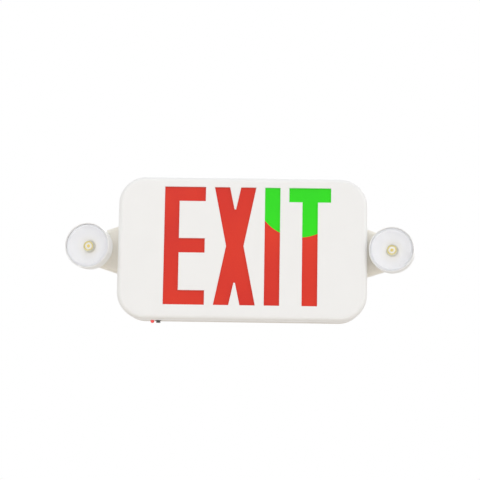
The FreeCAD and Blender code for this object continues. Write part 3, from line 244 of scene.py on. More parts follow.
def effect_painted_diode_reflection():
    """Rings about a turned piece's axis, by the distance kept in its UV map: 0 middle, 1 rim; a
    painted reflection, the image of a diode seen through a clear piece painted into its colour.
    """
    tree, given, result = group(
        "rings",
        (("Middle", "Color", (0.8, 0.6, 0.1, 1)), ("Pale", "Color", (0.9, 0.9, 0.8, 1)),
         ("Ring", "Color", (0.8, 0.7, 0.2, 1)), ("Rim", "Color", (0.9, 0.9, 0.8, 1)),
         ("Middle Reach", "Float", 0.4), ("Ring Start", "Float", 0.66),
         ("Rim Start", "Float", 0.95)),
        SURFACE,
    )
    around = node(tree, "ShaderNodeUVMap").outputs[0]
    split = node(tree, "ShaderNodeSeparateXYZ", {0: around}).outputs
    waver = spread(tree, noise(tree, 900.0, 2.0, object_place(tree)), 0.3, 0.7, -0.04, 0.04)
    reach = maths(tree, "ADD", split["Y"], waver)
    # Painted reflection: each band of colour outwards from the middle paints part of the diode's
    # image.
    colour = given["Middle"]
    for start, tone in (("Middle Reach", "Pale"), ("Ring Start", "Ring"), ("Rim Start", "Rim")):
        late = maths(tree, "ADD", given[start], 0.05)
        colour = blend_colour(tree, spread(tree, reach, given[start], late), colour, given[tone])
    gloss = spread(tree, reach, 0.0, 1.0, 0.1, 0.25)
    ripple = maths(tree, "SINE", maths(tree, "MULTIPLY", reach, 30.0))
    return put_out(tree, result, colour, gloss, ripple)


EFFECTS = {
    "rings": effect_painted_diode_reflection(),
    "moulding": effect_moulding(),
    "drawn_metal": effect_drawn_metal(),
    "layers": effect_layers(),
    "circuit": effect_circuit(),
    "tint": effect_tint(),
}


def finish(name, effect, inputs, bump=0.0002, strength=0.15, **shader):
    """A material: one effect group into a Principled shader, constants on the shader itself."""
    material = bpy.data.materials.new(name)
    material.use_nodes = True
    tree = material.node_tree
    shade = tree.nodes["Principled BSDF"]
    look = node(tree, "ShaderNodeGroup", node_tree=EFFECTS[effect])
    for key, value in inputs.items():
        look.inputs[key].default_value = value
    tree.links.new(look.outputs["Base Color"], shade.inputs["Base Color"])
    tree.links.new(look.outputs["Roughness"], shade.inputs["Roughness"])
    relief = node(tree, "ShaderNodeBump",
                  {"Height": look.outputs["Bump Height"], "Distance": bump, "Strength": strength})
    tree.links.new(relief.outputs[0], shade.inputs["Normal"])
    for key, value in shader.items():
        shade.inputs[key.replace("_", " ")].default_value = value
    return material


# ---------------------------------------------------------------- materials, one per finish


CIRCUIT_PAD = srgb(205, 200, 180)
LIGHT_THROUGH = 0.94


def moulded(name, tone, cloud=0.012, low=0.42, high=0.5, **shader):
    """Moulded opaque plastic, from its tone and its range of roughness."""
    inputs = {"Tone": tone, "Cloud": cloud, "Roughness Low": low, "Roughness High": high}
    return finish(name, "moulding", inputs, **shader)


def tinted(name, tone, deep, low=0.3, high=0.42, pearl=700.0, **shader):
    """Coloured translucent plastic between two close tones."""
    inputs = {"Tone": tone, "Deep Tone": deep, "Pearl Size": pearl,
              "Roughness Low": low, "Roughness High": high}
    return finish(name, "tint", inputs, **shader)


def metal(name, tone, streaks):
    """Bare metal; the streaks run along the axis with the smallest number."""
    inputs = {"Tone": tone, "Streaks": streaks, "Roughness Low": 0.25, "Roughness High": 0.42}
    return finish(name, "drawn_metal", inputs, Metallic=1.0)


def layered(name, tone, line, across, count, width):
    """Layers that follow each other along an axis, parted by darker or paler lines."""
    inputs = {"Tone": tone, "Line Tone": line, "Across": across,
              "Layers per Metre": count, "Line Width": width}
    return finish(name, "layers", inputs)


def board(name, lacquer, track, pitch):
    """A printed board with its tracks and tinned pads."""
    inputs = {"Lacquer": lacquer, "Track": track, "Pad": CIRCUIT_PAD, "Pitch": pitch}
    return finish(name, "circuit", inputs, Coat_Weight=0.3)


def glass(name, tone, low, high):
    """Clear moulded plastic: shows what is behind it and casts hardly any shadow."""
    made = tinted(name, tone, tone, low, high, pearl=160.0, bump=0.0004, strength=0.04,
                  Transmission_Weight=1.0, IOR=1.45)
    return pass_light(made)


def collimator(name):
    """Front of a lamp's optic: the diode shows in its middle and again as a ring in its flank, as a
    painted reflection, with a faint painted glow.
    """
    # Painted reflection: the diode's image in the middle and again as a ring in the flank.
    inputs = {"Middle": srgb(232, 206, 62), "Pale": srgb(242, 242, 240),
              "Ring": srgb(216, 200, 108), "Rim": srgb(244, 243, 238), "Middle Reach": 0.3}
    made = finish(name, "rings", inputs, bump=0.0003, strength=0.3, Coat_Weight=0.6,
                  Transmission_Weight=0.15,
                  # Painted glow: the optic gives off a faint warm light of its own, though it is no
                  # lamp.
                  Emission_Color=srgb(240, 222, 150), Emission_Strength=0.08)
    return pass_light(made)


def pass_light(material):
    """Lets most of a lamp's light through to what lies behind the piece."""
    tree = material.node_tree
    shadow = node(tree, "ShaderNodeLightPath").outputs["Is Shadow Ray"]
    solid = maths(tree, "SUBTRACT", 1.0, maths(tree, "MULTIPLY", shadow, LIGHT_THROUGH))
    tree.links.new(solid, tree.nodes["Principled BSDF"].inputs["Alpha"])
    return material


def make_materials():
    """Every finish by its name; the names are the slots of the nodes and pieces too."""
    return {
        "white_moulding": moulded("white_moulding", srgb(243, 243, 242), low=0.3, high=0.38),
        # Painted shade: the tray is the cover's white plastic, made darker and warmer to stand in
        # for the shade on it under the cover's rim.
        "tray_white_painted_shade": moulded("tray_white_painted_shade", srgb(230, 226, 219)),
        # Painted shade: the horns are the same white plastic, given a warmer cream tone to stand in
        # for the warm shade round them.
        "horn_white_painted_warm_shade": moulded("horn_white_painted_warm_shade", srgb(247, 243, 233)),
        "red_panel": tinted("red_panel", srgb(225, 58, 36), srgb(214, 48, 36),
                            Specular_IOR_Level=0.25),
        "green_panel": tinted("green_panel", srgb(48, 228, 22), srgb(44, 218, 26),
                              Specular_IOR_Level=0.25),
        "opal_sheet": moulded("opal_sheet", srgb(240, 240, 238), 0.02, 0.35, 0.5),
        "reflector_white": moulded("reflector_white", srgb(243, 243, 241), 0.02, 0.2, 0.3),
        "bowl_white": moulded("bowl_white", srgb(249, 249, 249), 0.01, 0.7, 0.8,
                              Specular_IOR_Level=0.15),
        "steel": metal("steel", srgb(190, 190, 192), (900.0, 60.0, 900.0)),
        "zinc_strap": metal("zinc_strap", srgb(200, 200, 203), (50.0, 900.0, 900.0)),
        "core_steel": layered("core_steel", srgb(96, 96, 99), srgb(38, 38, 40),
                              (0, 1, 0), 2000.0, 0.3),
        "coil_tape": layered("coil_tape", srgb(224, 184, 66), srgb(168, 128, 30),
                             (0, 0, 1), 320.0, 0.08),
        "capacitor_sleeve": layered("capacitor_sleeve", srgb(42, 48, 62), srgb(170, 175, 185),
                                    (1, 0, 0), 90.0, 0.1),
        "terminal_plastic": tinted("terminal_plastic", srgb(52, 134, 80), srgb(40, 112, 66)),
        "board_green": board("board_green", srgb(18, 92, 48), srgb(40, 128, 66), 330.0),
        "board_white": board("board_white", srgb(240, 240, 236), srgb(228, 228, 222), 420.0),
        "red_diode": tinted("red_diode", srgb(228, 110, 96), srgb(205, 70, 60), 0.15, 0.25),
        "green_diode": tinted("green_diode", srgb(170, 224, 150), srgb(120, 196, 104), 0.15, 0.25),
        "black_plastic": moulded("black_plastic", srgb(44, 44, 46), 0.2, 0.38, 0.55),
        "white_knob": moulded("white_knob", srgb(240, 240, 238), 0.015, 0.25, 0.34),
        # Painted sheen: the test button's black plastic is raised to grey to stand in for the
        # highlight along it.
        "knob_grey_painted_sheen": moulded("knob_grey_painted_sheen", srgb(88, 89, 88), 0.1, 0.14, 0.22, Coat_Weight=1.0),
        "battery_wrap": layered("battery_wrap", srgb(52, 92, 170), srgb(36, 66, 132),
                                (1, 0, 0), 60.0, 0.04),
        "red_lens": tinted("red_lens", srgb(240, 66, 58), srgb(222, 40, 38), 0.08, 0.14,
                           Coat_Weight=0.6,
                           Emission_Color=srgb(236, 44, 40), Emission_Strength=0.3),
        "clear_lens": glass("clear_lens", srgb(250, 250, 252), 0.02, 0.04),
        "clear_optic": collimator("clear_optic"),
        "lamp_phosphor": tinted("lamp_phosphor", srgb(250, 214, 60), srgb(238, 190, 30), 0.3, 0.4),
    }


FINISHES = make_materials()

NODE_SLOTS = {
    "white_moulding": (
        "front_cover", "left_swivel", "right_swivel", "left_lamp_shell", "right_lamp_shell",
        "left_lens_bezel", "right_lens_bezel",
    ),
    # Painted shade: the tray's finish is the white plastic darkened for the shade under the cover's
    # rim.
    "tray_white_painted_shade": ("back_housing",),
    # Painted shade: the horns' finish is the white plastic warmed for the shade round them.
    "horn_white_painted_warm_shade": ("left_horn", "right_horn", "left_horn_cap", "right_horn_cap"),
    "red_panel": ("legend_panel_red",),
    "green_panel": ("legend_panel_green",),
    "opal_sheet": ("diffuser_sheet",),
    "reflector_white": ("reflector_tray",),
    "bowl_white": ("left_reflector", "right_reflector"),
    "clear_lens": ("left_lens", "right_lens"),
    "clear_optic": ("left_optic", "right_optic"),
    "lamp_phosphor": ("left_lamp_led", "right_lamp_led"),
    "board_white": ("left_lamp_board", "right_lamp_board", "led_strip_top", "led_strip_bottom"),
    "board_green": ("main_board",),
    "red_diode": ("red_leds",),
    "green_diode": ("green_leds",),
    "core_steel": ("transformer_core",),
    "coil_tape": ("transformer_coil",),
    "capacitor_sleeve": ("capacitors",),
    "terminal_plastic": ("terminal_block",),
    "battery_wrap": ("battery_pack",),
    "zinc_strap": ("battery_strap",),
    "black_plastic": ("selector_switch", "test_switch", "button_bush", "status_led_holder"),
    # Painted sheen: the button's grey tone stands in for its highlight.
    "knob_grey_painted_sheen": ("test_button",),
    "white_knob": ("selector_slider",),
    "red_lens": ("status_led",),
    "steel": (
        "reflector_screws", "board_screws", "strap_screws", "left_horn_screws", "right_horn_screws",
        "left_swivel_clip", "right_swivel_clip", "left_tilt_pin", "right_tilt_pin",
    ),
}


# ---------------------------------------------------------------- mesh helpers


SAME_POINT = 1e-6
MITRE_LIMIT = 0.3
NEAR_CORNER = 0.000004
SAME_SIDE = 0.8


def placed(name, data):
    """A new object at the origin, in the scene."""
    made = bpy.data.objects.new(name, data)
    SCENE.collection.objects.link(made)
    return made


def new_piece(name, mesh, slot, body, replaced):
    """A finished piece that rides on a body and takes the place of one CAD node."""
    mesh.name = name
    made = placed(name, mesh)
    mesh.materials.clear()
    mesh.materials.append(FINISHES[slot])
    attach(made, body)
    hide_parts(replaced)


def filled(bm, mesh):
    """Moves what was modelled into a mesh."""
    bm.to_mesh(mesh)
    bm.free()
    return mesh


def merged_copy(name):
    """The mesh of a CAD node with its loose triangles joined."""
    bm = bmesh.new()
    bm.from_mesh(NODES[name].data)
    bmesh.ops.remove_doubles(bm, verts=bm.verts, dist=SAME_POINT)
    bmesh.ops.dissolve_limit(bm, angle_limit=0.0005, verts=bm.verts, edges=bm.edges)
    return filled(bm, bpy.data.meshes.new(name + "_copy"))


def counter_clockwise(outline):
    """The outline, turned round if it runs clockwise."""
    pairs = zip(outline, outline[1:] + outline[:1])
    area = sum(a[0] * b[1] - b[0] * a[1] for a, b in pairs) / 2
    return outline if area > 0 else outline[::-1]


def offset_outline(points, by):
    """A closed outline, counter-clockwise, moved outwards by a distance with mitred corners."""
    moved = []
    count = len(points)
    for i, point in enumerate(points):
        before, after = Vector(points[i - 1]), Vector(points[(i + 1) % count])
        here = Vector(point)
        first, second = (here - before).normalized(), (after - here).normalized()
        out_first, out_second = Vector((first.y, -first.x)), Vector((second.y, -second.x))
        middle = (out_first + out_second).normalized()
        moved.append(tuple(here + middle * (by / max(MITRE_LIMIT, middle.dot(out_first)))))
    return moved


def flat_ring(bm, outline, depth):
    """Corners of an outline at one depth along Y, from millimetres."""
    return [bm.verts.new((x * MM, depth * MM, z * MM)) for x, z in outline]


def join_rings(bm, low, high):
    """A band of four-sided faces between two rings of as many corners."""
    count = len(low)
    for i in range(count):
        bm.faces.new((low[i], low[(i + 1) % count], high[(i + 1) % count], high[i]))


def add_prism(bm, outline, levels):
    """A closed shape through levels of (depth along Y in mm, outward offset in mm)."""
    rings = [flat_ring(bm, offset_outline(outline, by) if by else outline, depth)
             for depth, by in levels]
    for low, high in zip(rings, rings[1:]):
        join_rings(bm, low, high)
    bm.faces.new(rings[0][::-1])
    bm.faces.new(rings[-1])


def add_groove(bm, outer, inner, floor, top):
    """A closed channel between two outlines."""
    rings = [flat_ring(bm, ring, depth)
             for ring, depth in ((outer, floor), (outer, top), (inner, top), (inner, floor))]
    for low, high in zip(rings, rings[1:] + rings[:1]):
        join_rings(bm, low, high)


def smooth(mesh, angle):
    """Smooth shading, but for edges sharper than an angle in degrees."""
    mesh.polygons.foreach_set("use_smooth", [True] * len(mesh.polygons))
    mesh.set_sharp_from_angle(angle=math.radians(angle))


def baked(piece):
    """The mesh that an object's modifiers give; the object itself is dropped."""
    view = bpy.context.evaluated_depsgraph_get()
    view.update()
    mesh = bpy.data.meshes.new_from_object(piece.evaluated_get(view))
    bpy.data.objects.remove(piece)
    return mesh


def keep_normals(mesh, source):
    """Corners that the source has keep its smooth normals; corners of new cuts are shaded flat."""
    places = KDTree(len(source.loops))
    for loop in source.loops:
        places.insert(source.vertices[loop.vertex_index].co, loop.index)
    places.balance()
    given = [normal.vector.copy() for normal in source.corner_normals]
    mesh.polygons.foreach_set("use_smooth", [True] * len(mesh.polygons))
    chosen = []
    for face in mesh.polygons:
        for corner in face.loop_indices:
            place = mesh.vertices[mesh.loops[corner].vertex_index].co
            there = [given[index] for _, index, _ in places.find_range(place, NEAR_CORNER)]
            best = max(there, key=lambda normal: normal.dot(face.normal), default=face.normal)
            chosen.append(tuple(best if best.dot(face.normal) > SAME_SIDE else face.normal))
    mesh.normals_split_custom_set(chosen)


# ---------------------------------------------------------------- geometry node trees


def grown(tree, inputs, at):
    """The plain mesh that a geometry tree makes from named inputs, moved to its place."""
    piece = placed("growing", bpy.data.meshes.new("growing"))
    change = piece.modifiers.new("tree", "NODES")
    change.node_group = tree
    sockets = {item.name: item.identifier for item in tree.interface.items_tree
               if item.item_type == "SOCKET" and item.in_out == "INPUT"}
    for label, value in inputs.items():
        change[sockets[label]] = value
    mesh = baked(piece)
    mesh.transform(at)
    return face_outwards(mesh)


def face_outwards(mesh):
    """Closes the seams that a tree leaves open and turns every face outwards."""
    bm = bmesh.new()
    bm.from_mesh(mesh)
    bmesh.ops.remove_doubles(bm, verts=bm.verts, dist=SAME_POINT)
    bmesh.ops.recalc_face_normals(bm, faces=bm.faces)
    return filled(bm, mesh)


def geometry_tree(name, inputs):
    """A geometry tree with named inputs; gives its tree, its inputs and its one output."""
    tree = bpy.data.node_groups.new(name, "GeometryNodeTree")
    tree.is_modifier = True
    add_sockets(tree, inputs, (("Geometry", "Geometry"),))
    given = tree.nodes.new("NodeGroupInput").outputs
    return tree, given, tree.nodes.new("NodeGroupOutput").inputs[0]


def leave(tree, geometry, given, result):
    """Ends a tree: real geometry with its material set."""
    real = node(tree, "GeometryNodeRealizeInstances", {0: geometry}).outputs[0]
    dressed = node(tree, "GeometryNodeSetMaterial",
                   {"Geometry": real, "Material": given["Material"]}).outputs[0]
    tree.links.new(dressed, result)
    return tree


def rounded_section(tree, width, height, corner, steps):
    """A rectangular curve with rounded corners."""
    sharp = node(tree, "GeometryNodeCurvePrimitiveQuadrilateral",
                 {"Width": width, "Height": height}).outputs[0]
    return node(tree, "GeometryNodeFilletCurve",
                {"Curve": sharp, "Radius": corner, "Count": steps}, mode="POLY").outputs[0]


def joined(tree, *parts):
    """Several geometries as one."""
    join = tree.nodes.new("GeometryNodeJoinGeometry")
    for part in parts:
        tree.links.new(part, join.inputs[0])
    return join.outputs[0]


def ring_tree():
    """A ring with a rounded rectangular section, swept round a circle."""
    tree, given, result = geometry_tree("ring", (
        ("Outer Radius", "Float", 0.029), ("Lip", "Float", 0.0015), ("Depth", "Float", 0.003),
        ("Rounding", "Float", 0.0006), ("Steps Around", "Int", 160),
        ("Material", "Material", None)))
    half = maths(tree, "MULTIPLY", given["Lip"], 0.5)
    circle = node(tree, "GeometryNodeCurvePrimitiveCircle",
                  {"Radius": maths(tree, "SUBTRACT", given["Outer Radius"], half),
                   "Resolution": given["Steps Around"]}).outputs[0]
    section = rounded_section(tree, given["Lip"], given["Depth"], given["Rounding"], 5)
    swept = node(tree, "GeometryNodeCurveToMesh",
                 {"Curve": circle, "Profile Curve": section}).outputs[0]
    shaded = node(tree, "GeometryNodeSetShadeSmooth", {"Geometry": swept}).outputs[0]
    return leave(tree, shaded, given, result)


def diode_tree():
    """Small lamp packages in rows: a rounded block with a domed window, placed on a grid."""
    tree, given, result = geometry_tree("diodes", (
        ("Count", "Int", 5), ("Pitch", "Float", 0.038), ("Row Distance", "Float", 0.124),
        ("Length", "Float", 0.0035), ("Width", "Float", 0.0028), ("Height", "Float", 0.0014),
        ("Material", "Material", None)))
    gaps = maths(tree, "SUBTRACT", given["Count"], 1.0)
    grid = node(tree, "GeometryNodeMeshGrid",
                {"Size X": maths(tree, "MULTIPLY", gaps, given["Pitch"]),
                 "Size Y": given["Row Distance"],
                 "Vertices X": given["Count"], "Vertices Y": 2}).outputs[0]
    package = joined(tree, diode_block(tree, given), diode_window(tree, given))
    rows = node(tree, "GeometryNodeInstanceOnPoints",
                {"Points": grid, "Instance": package}).outputs[0]
    return leave(tree, rows, given, result)


def diode_block(tree, given):
    """The rounded flat body of a diode, standing on Z 0."""
    section = rounded_section(tree, given["Length"], given["Width"], 0.3 * MM, 3)
    base = node(tree, "GeometryNodeFillCurve", {"Curve": section}, mode="NGONS").outputs[0]
    height = maths(tree, "MULTIPLY", given["Height"], 0.85)
    raised = node(tree, "GeometryNodeExtrudeMesh",
                  {"Mesh": base, "Offset": (0.0, 0.0, 1.0), "Offset Scale": height,
                   "Individual": False}).outputs[0]
    under = node(tree, "GeometryNodeFlipFaces", {"Mesh": base}).outputs[0]
    return joined(tree, under, raised)


def diode_window(tree, given):
    """The low dome in the face of a diode."""
    dome = node(tree, "GeometryNodeMeshUVSphere",
                {"Segments": 12, "Rings": 6,
                 "Radius": maths(tree, "MULTIPLY", given["Width"], 0.36)}).outputs[0]
    rise = maths(tree, "MULTIPLY", given["Height"], 0.82)
    lift = node(tree, "ShaderNodeCombineXYZ", {2: rise}).outputs[0]
    return node(tree, "GeometryNodeTransform",
                {"Geometry": dome, "Translation": lift, "Scale": (1.0, 1.0, 0.22)}).outputs[0]


# ---------------------------------------------------------------- light strips


STRIP_FACE, STRIPS_LEVEL = -30.2, 3.0
ROW_MIDDLES = {"red": -3.4, "green": 15.6}
FORWARD = Matrix.Rotation(math.radians(90), 4, "X")
DIODES = {"Count": 5, "Pitch": 38.0 * MM, "Row Distance": 124.0 * MM,
          "Length": 3.5 * MM, "Width": 2.8 * MM, "Height": 1.4 * MM}


def make_diodes():
    """The red and the green diodes of both strips, by turns, facing the legend."""
    tree = diode_tree()
    for colour, middle in ROW_MIDDLES.items():
        slot = colour + "_diode"
        place = Matrix.Translation((middle * MM, STRIP_FACE * MM, STRIPS_LEVEL * MM)) @ FORWARD
        mesh = grown(tree, {**DIODES, "Material": FINISHES[slot]}, place)
        new_piece(slot + "_rows", mesh, slot, "housing", colour + "_leds")


# ---------------------------------------------------------------- lamp heads


HEAD_MIDDLES = {"left": -194.0, "right": 194.0}
TILT_STAND = 31.5
HEAD_TURN = Matrix.Rotation(math.radians(-9.5), 4, "Z")
RING_MIDDLE = 25.43
RING = {"Outer Radius": 28.95 * MM, "Lip": 1.35 * MM, "Depth": 2.85 * MM,
        "Rounding": 0.65 * MM, "Steps Around": 160}

# Profiles of turned pieces: radius and distance from the tilt axis, in millimetres.
LENS_PROFILE = (
    (0, 24.06), (13, 24.06), (26.5, 24.06), (27.35, 24.06), (27.5, 24.2), (27.5, 25.55),
    (27.35, 25.7), (26.5, 25.78), (24, 25.88), (20, 25.97), (16, 26.03), (12, 26.07),
    (8, 26.1), (4, 26.11), (0, 26.12),
)
OPTIC_PROFILE = (
    (0, 14.8), (3.75, 14.8), (3.75, 11.3), (4.4, 11.3), (6.25, 19.15), (6.4, 19.3), (6.0, 19.3),
    (5.8, 18.95), (4.0, 18.75), (2.4, 18.8), (0, 18.85),
)


def head_place(side):
    """Puts a shape that stands on Z onto a head's axis, which faces out from the wall."""
    axis = Matrix.Translation((HEAD_MIDDLES[side] * MM, -TILT_STAND * MM, 0))
    return axis @ (HEAD_TURN @ FORWARD)


def turned(name, profile, around):
    """A closed shape turned about Z from a profile in mm, with the radius as its UV height."""
    bm = bmesh.new()
    layer = bm.loops.layers.uv.new("UVMap")
    furthest = max(radius for radius, _ in profile)
    rings = [turned_ring(bm, radius, height, around) for radius, height in profile]
    for low, high in zip(rings, rings[1:]):
        for i in range(around):
            corners = [low[i % len(low)], low[(i + 1) % len(low)],
                       high[(i + 1) % len(high)], high[i % len(high)]]
            face = bm.faces.new(list(dict.fromkeys(corners)))
            for loop in face.loops:
                loop[layer].uv = (i / around, loop.vert.co.xy.length / (furthest * MM))
    bmesh.ops.recalc_face_normals(bm, faces=bm.faces)
    return filled(bm, bpy.data.meshes.new(name))


def turned_ring(bm, radius, height, around):
    """Points round Z at one height, or the one point where the profile meets the axis."""
    if radius == 0:
        return [bm.verts.new((0, 0, height * MM))]
    steps = [math.tau * i / around for i in range(around)]
    return [bm.verts.new((radius * MM * math.cos(a), radius * MM * math.sin(a), height * MM))
            for a in steps]


def make_bezels():
    """The snap ring round each lens, a thin lip flush with the head's side."""
    tree = ring_tree()
    for side in HEAD_MIDDLES:
        place = head_place(side) @ Matrix.Translation((0, 0, RING_MIDDLE * MM))
        mesh = grown(tree, {**RING, "Material": FINISHES["white_moulding"]}, place)
        new_piece(side + "_snap_ring", mesh, "white_moulding", side + "_head", side + "_lens_bezel")


def add_turned(name, profile, around, edge, slot, replaced):
    """One turned piece on each head's axis, smooth but for edges above an angle in degrees."""
    for side in HEAD_MIDDLES:
        mesh = turned(name, profile, around)
        mesh.transform(head_place(side))
        smooth(mesh, edge)
        new_piece(f"{side}_{name}", mesh, slot, side + "_head", f"{side}_{replaced}")


def make_lenses():
    """The clear disc in each bezel, slightly domed in front and just clear of its seat."""
    add_turned("domed_lens", LENS_PROFILE, 128, 12.0, "clear_lens", "lens")


def make_optics():
    """The solid optic over each lamp diode, with a dished front."""
    add_turned("collimator", OPTIC_PROFILE, 96, 35.0, "clear_optic", "optic")


# ---------------------------------------------------------------- cover with its legend


LETTER_LOW, LETTER_HIGH, LETTER_MIDDLE = -73.2, 79.2, 3.0
CHEVRON_LEVEL = LETTER_MIDDLE + 0.4
CHEVRONS = ((147.7, 131.5), (-135.5, -119.3))

# Depth along Y and how far the opening flares there: a small chamfer at the cover's face.
LETTER_LEVELS = ((-45.0, 0), (-47.6, 0), (-48.1, 0.45), (-49.0, 0.45))
GROOVE_WIDTH, GROOVE_FLOOR, GROOVE_TOP = 0.35, -47.78, -48.6


# Outlines run once round each letter, as (x, z) in millimetres.


def letter_e():
    """A stem with three bars, the middle one a little shorter."""
    left, right, stem, bar = -100.7, -48.1, 19.0, 18.5
    low, high = LETTER_LOW, LETTER_HIGH
    bar_right, bar_low, bar_high = right - 0.4, LETTER_MIDDLE - 9.2, LETTER_MIDDLE + 9.4
    return [
        (left, low), (right, low), (right, low + bar), (left + stem, low + bar),
        (left + stem, bar_low), (bar_right, bar_low), (bar_right, bar_high),
        (left + stem, bar_high), (left + stem, high - bar), (right, high - bar),
        (right, high), (left, high),
    ]


def letter_x():
    """Two strokes that cross in a wide waist, with a notch from above and one from below."""
    middle, half, waist = -9.9, 26.7, 11.15
    notch_wide, notch_narrow, notch_up = 7.2, 1.0, 47.5
    low, high, level = LETTER_LOW, LETTER_HIGH, LETTER_MIDDLE
    right = [
        (middle + notch_narrow, level - notch_up), (middle + notch_wide, low),
        (middle + half, low), (middle + waist, level), (middle + half, high),
        (middle + notch_wide, high), (middle + notch_narrow, level + notch_up),
    ]
    left = [(2 * middle - x, z) for x, z in reversed(right)]
    return right + left


def letter_i():
    """A plain stroke."""
    left, right = 28.2, 47.8
    return [(left, LETTER_LOW), (right, LETTER_LOW), (right, LETTER_HIGH), (left, LETTER_HIGH)]


def letter_t():
    """A bar on a stem."""
    left, right, stem_left, stem_right, bar_low = 59.3, 112.9, 76.3, 96.1, 60.7
    return [
        (stem_left, LETTER_LOW), (stem_right, LETTER_LOW), (stem_right, bar_low),
        (right, bar_low), (right, LETTER_HIGH), (left, LETTER_HIGH), (left, bar_low),
        (stem_left, bar_low),
    ]


def chevron(apex, tail):
    """An arrow head: outline through its point, its two tails and its inner corner."""
    half, thick = 12.3, 5.0
    way = 1 if apex > tail else -1
    end, drop = tail - way * thick, half - thick * 0.4
    return [
        (apex, CHEVRON_LEVEL), (tail, CHEVRON_LEVEL + half), (end, CHEVRON_LEVEL + drop),
        (apex - way * thick * 1.9, CHEVRON_LEVEL), (end, CHEVRON_LEVEL - drop),
        (tail, CHEVRON_LEVEL - half),
    ]


def openings_mesh():
    """What is cut from the cover: the legend right through and the chevrons as fine grooves."""
    bm = bmesh.new()
    for outline in (letter_e(), letter_x(), letter_i(), letter_t()):
        add_prism(bm, counter_clockwise(outline), LETTER_LEVELS)
    for apex, tail in CHEVRONS:
        outline = counter_clockwise(chevron(apex, tail))
        add_groove(bm, outline, offset_outline(outline, -GROOVE_WIDTH), GROOVE_FLOOR, GROOVE_TOP)
    bmesh.ops.recalc_face_normals(bm, faces=bm.faces)
    return filled(bm, bpy.data.meshes.new("openings"))


def make_cover():
    """The moulded cover with its legend cut out."""
    piece = placed("cover_cut", merged_copy("front_cover"))
    cutter = placed("openings", openings_mesh())
    cut = piece.modifiers.new("openings", "BOOLEAN")
    cut.operation, cut.solver, cut.object = "DIFFERENCE", "EXACT", cutter
    mesh = baked(piece)
    bpy.data.objects.remove(cutter)
    keep_normals(mesh, NODES["front_cover"].data)
    new_piece("cover", mesh, "white_moulding", "housing", "front_cover")


# ---------------------------------------------------------------- CAD nodes


def dress_nodes():
    """Gives every CAD node the finish that its place in the assembly calls for."""
    for finish_name, names in NODE_SLOTS.items():
        for name in names:
            NODES[name].data.materials.clear()
            NODES[name].data.materials.append(FINISHES[finish_name])


# ---------------------------------------------------------------- camera, light and stage


CAMERA_PLACE = (0.0387, -2.0264, -0.2792)
CAMERA_YAW, CAMERA_PITCH, CAMERA_ROLL = 1.215, -8.334, 0.946
CAMERA_LENS, CAMERA_SENSOR = 117.12, 36.0
FLOOR_HALF, FLOOR_LEVEL = 8.0, -1.8
WHITE = (1, 1, 1, 1)
BELOW, ABOVE = (0.86, 0.82, 0.77, 1), (0.96, 0.975, 1.0, 1)
WORLD_LIGHT = 0.79

# Soft lamps that face the object: place, width and height, and power in watts.
LAMPS = {
    "key": ((-1.0, -2.6, 1.4), (1.6, 1.6), 13.0),
    "fill": ((2.2, -1.7, 1.0), (1.5, 2.0), 14.0),
    "low": ((-0.2, -2.2, -1.5), (2.2, 0.9), 11.0),
    "back": ((0.6, 2.6, 0.9), (2.0, 1.6), 18.0),
}


def make_camera():
    """A long lens from below and a little to the right, turned slightly about its own axis."""
    yaw, pitch, roll = (math.radians(a) for a in (CAMERA_YAW, CAMERA_PITCH, CAMERA_ROLL))
    back = Vector((math.sin(yaw) * math.cos(pitch), -math.cos(yaw) * math.cos(pitch),
                   math.sin(pitch)))
    right = (-back).cross(Vector((0, 0, 1))).normalized()
    up = right.cross(-back)
    side = right * math.cos(roll) + up * math.sin(roll)
    head = up * math.cos(roll) - right * math.sin(roll)
    data = bpy.data.cameras.new("camera")
    data.lens, data.sensor_width = CAMERA_LENS, CAMERA_SENSOR
    data.clip_start, data.clip_end = 0.05, 20.0
    camera = placed("camera", data)
    turn = Matrix((side, head, back)).transposed().to_4x4()
    camera.matrix_world = Matrix.Translation(CAMERA_PLACE) @ turn
    SCENE.camera = camera


def make_floor():
    """A wide flat floor well below the object."""
    mesh = bpy.data.meshes.new("floor")
    corners = [(x * FLOOR_HALF, y * FLOOR_HALF, FLOOR_LEVEL)
               for x, y in ((-1, -1), (1, -1), (1, 1), (-1, 1))]
    mesh.from_pydata(corners, [], [(0, 1, 2, 3)])
    mesh.materials.append(stage_material())
    floor = placed("floor", mesh)


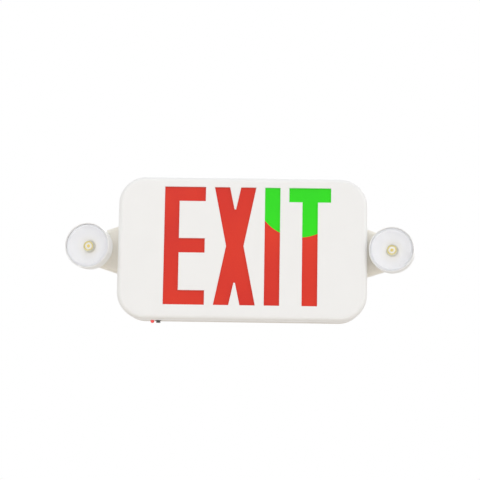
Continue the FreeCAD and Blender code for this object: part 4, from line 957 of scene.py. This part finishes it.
def seen_white(tree):
    """1 for rays that show the background itself: straight, mirrored or through clear pieces."""
    seen = node(tree, "ShaderNodeLightPath").outputs
    shown = maths(tree, "MAXIMUM", seen["Is Camera Ray"], seen["Is Glossy Ray"])
    return maths(tree, "MAXIMUM", shown, seen["Is Transmission Ray"])


def stage_material():
    """Pale floor that reads as plain white and lights the object from below."""
    material = bpy.data.materials.new("stage")
    material.use_nodes = True
    tree = material.node_tree
    tree.nodes.clear()
    white = node(tree, "ShaderNodeEmission", {"Color": WHITE, "Strength": 1.0}).outputs[0]
    soft = node(tree, "ShaderNodeBsdfDiffuse", {"Color": srgb(214, 206, 196)}).outputs[0]
    mix = node(tree, "ShaderNodeMixShader", {0: seen_white(tree), 1: soft, 2: white}).outputs[0]
    node(tree, "ShaderNodeOutputMaterial", {0: mix})
    return material


def make_world():
    """Reads as white; for light, cooler above and warmer and dimmer towards the floor."""
    world = bpy.data.worlds.new("world")
    SCENE.world = world
    world.use_nodes = True
    tree = world.node_tree
    tree.nodes.clear()
    way = node(tree, "ShaderNodeTexCoord").outputs["Generated"]
    height = node(tree, "ShaderNodeSeparateXYZ", {0: way}).outputs["Z"]
    sky = blend_colour(tree, spread(tree, height, -0.5, 0.6), BELOW, ABOVE)
    shown = seen_white(tree)
    colour = blend_colour(tree, shown, sky, WHITE)
    strength = spread(tree, shown, 0.0, 1.0, WORLD_LIGHT, 1.0)
    back = node(tree, "ShaderNodeBackground", {"Color": colour, "Strength": strength}).outputs[0]
    node(tree, "ShaderNodeOutputWorld", {0: back})


def make_lamps():
    """The soft lamps, each pointed at the middle of the object."""
    for name, (place, size, watts) in LAMPS.items():
        data = bpy.data.lights.new(name, "AREA")
        data.shape, data.size, data.size_y = "RECTANGLE", size[0], size[1]
        data.energy = watts
        lamp = placed(name, data)
        lamp.location = place
        lamp.rotation_mode = "QUATERNION"
        lamp.rotation_quaternion = (-Vector(place)).to_track_quat("-Z", "Y")


# ---------------------------------------------------------------- build


dress_nodes()
make_cover()
make_diodes()
make_bezels()
make_lenses()
make_optics()
make_camera()
make_floor()
make_world()
make_lamps()
SCENE.view_settings.view_transform = "Standard"
